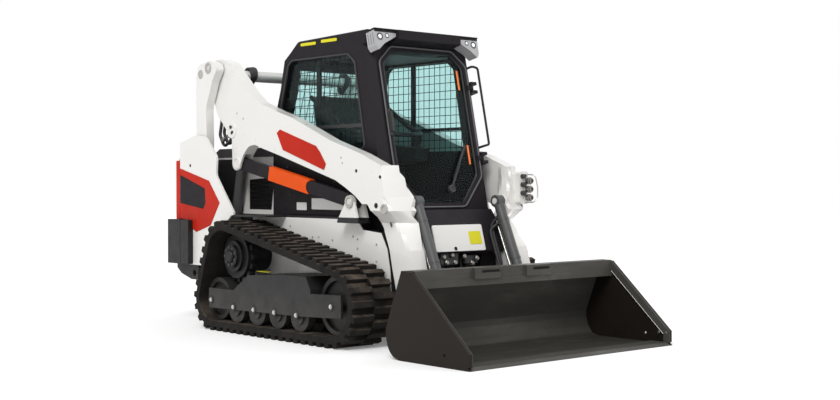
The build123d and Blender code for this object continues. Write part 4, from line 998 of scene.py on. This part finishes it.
# black strips in the bucket's top bar, painted shade inside two slots
lipSlotShades = {"y": -1.2485, "z": 0.492, "height": 0.0155, "gap": 0.0006,
    "spans": [(-0.337, -0.180), (0.095, 0.250)]}
plates("lipSlotShades", [((sum(span) / 2, lipSlotShades["y"], lipSlotShades["z"]), (1, 0, 0), (0, 0, 1),
            span[1] - span[0] - lipSlotShades["gap"], lipSlotShades["height"], 0.0008, 0.001)
        for span in lipSlotShades["spans"]], "grille", "bucket")
bolts("couplerBolts", sideSpots(bucketMarks["couplerX"], bucketMarks["couplerBolts"]), 0.012, 0.003,
    "grey", "bucket")

# rear
rear = {"weightBolts": [(0.615, 0.69), (0.685, 0.69), (0.615, 0.48), (0.685, 0.48)],
    "latch": (-0.585, 1.000), "latchSize": (0.070, 0.130, 0.002, 0.014),
    "handle": [(0.002, -0.045), (0.011, -0.040), (0.011, 0.040), (0.002, 0.045)],
    "edgeAt": (-0.6402, 1.630, 0.960), "edge": (0.050, 0.430, 0.034, 0.012)}
weightSkin = skinOf("counterweights")
bolts("weightBolts", [onRear(weightSkin, s * x, z) for s in sides for x, z in rear["weightBolts"]], 0.018, 0.012,
    "grey", "machine")
latchAt, _ = onRear(skinOf("tailgate"), *rear["latch"])
plates("tailLatch", [(latchAt, (-1, 0, 0), (0, 0, 1), *rear["latchSize"])],
    "plastic", "tailgate")
tubes("tailHandle", [[latchAt + Vector((0, out, up)) for out, up in rear["handle"]]], 0.006,
    "grille", "tailgate", corner=0.01)
plates("tailEdge", [(rear["edgeAt"], (0, -1, 0), (0, 0, 1), *rear["edge"])], "red", "tailgate")
print("stage: bucket and rear")


# seat
padding = {"gap": 0.012, "rounding": 0.028, "voxel": 0.010, "pressure": 4, "lastFrame": 15, "swell": 0.012,
    "channelHalf": 0.007, "channelDeep": 0.008, "inside": 0.001, "fill": 0.75}


def paddedForm(name, node, form):
    # a swollen pad between two flat sides, kept inside its solid, with sewn channels pressed in afterwards
    section = form["section"]
    made = bmesh.new()
    rows = [[made.verts.new((s * (form["half"] - padding["gap"]), y, z)) for y, z in section] for s in (-1, 1)]
    made.faces.new(rows[0])
    made.faces.new(rows[1][::-1])
    for k in range(len(section)):
        j = (k + 1) % len(section)
        made.faces.new((rows[0][k], rows[0][j], rows[1][j], rows[1][k]))
    pad = bpy.data.objects.new(name, closeMesh(name, made, padding["rounding"]))
    scene.collection.objects.link(pad)
    remesh = pad.modifiers.new("even", "REMESH")
    remesh.mode = "VOXEL"
    remesh.voxel_size = padding["voxel"]
    pad.data = settled(pad)
    before = [v.co.copy() for v in pad.data.vertices]
    cloth = pad.modifiers.new("swell", "CLOTH")
    cloth.settings.use_pressure = True
    cloth.settings.uniform_pressure_force = padding["pressure"]
    cloth.settings.effector_weights.gravity = 0
    for frameNumber in range(1, padding["lastFrame"] + 1):
        scene.frame_set(frameNumber)
    pad.data = settled(pad)
    scene.frame_set(1)
    low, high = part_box(node)
    axis, outward = form["face"]
    for v, old in zip(pad.data.vertices, before):
        move = v.co - old
        if move.length > padding["swell"]:
            v.co = old + move * (padding["swell"] / move.length)
        if v.normal[axis] * outward > 0.3:
            press = math.exp(-((abs(v.co.x) - form["channel"]) / padding["channelHalf"]) ** 2)
            v.co[axis] -= outward * padding["channelDeep"] * press
        for k in range(3):
            v.co[k] = min(max(v.co[k], low[k] + padding["inside"]), high[k] - padding["inside"])
    smooth = pad.modifiers.new("soften", "SUBSURF")
    smooth.levels = smooth.render_levels = 1
    pad.data = settled(pad)
    pad.data.polygons.foreach_set("use_smooth", [True] * len(pad.data.polygons))
    pad.data.materials.clear()
    pad.data.materials.append(finish["vinyl"])
    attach(pad, "machine")
    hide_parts(node)


# face: the axis that the pad's face looks along, and which way
cushion = {"half": 0.240, "channel": 0.11, "face": (2, 1),
    "section": [(0.135, 1.122), (0.508, 1.122), (0.508, 1.190), (0.300, 1.186), (0.150, 1.192), (0.132, 1.170)]}
backRest = {"half": 0.225, "channel": 0.10, "face": (1, -1),
    "section": [(0.484, 1.222), (0.552, 1.222), (0.612, 1.556), (0.590, 1.630), (0.550, 1.630),
        (0.500, 1.450)]}
paddedForm("seatCushion", "seat_cushion", cushion)
paddedForm("seatBack", "seat_back", backRest)

# bellows under the joysticks
boots = {"radius": 0.036, "folds": 4, "rise": 0.030, "taper": 0.16, "pinch": 0.88, "in": 0.0175, "gap": 0.0005}
stickLow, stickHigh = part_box("joysticks")
bootShape = [(0, 0)]
for k in range(boots["folds"] + 1):
    pinch = 1 if k % 2 else boots["pinch"]
    bootShape.append((boots["radius"] * (1 - boots["taper"] * k) * pinch, boots["rise"] * k / boots["folds"]))
bootShape.append((0, boots["rise"]))
turned("joystickBoots", [((s * (stickHigh[0] - boots["in"]), (stickLow[1] + stickHigh[1]) / 2,
                stickLow[2] + boots["gap"]), (0, 0, 1), bootShape) for s in sides],
    "plastic", "machine")
print("stage: seat and controls")


print("stage: done")
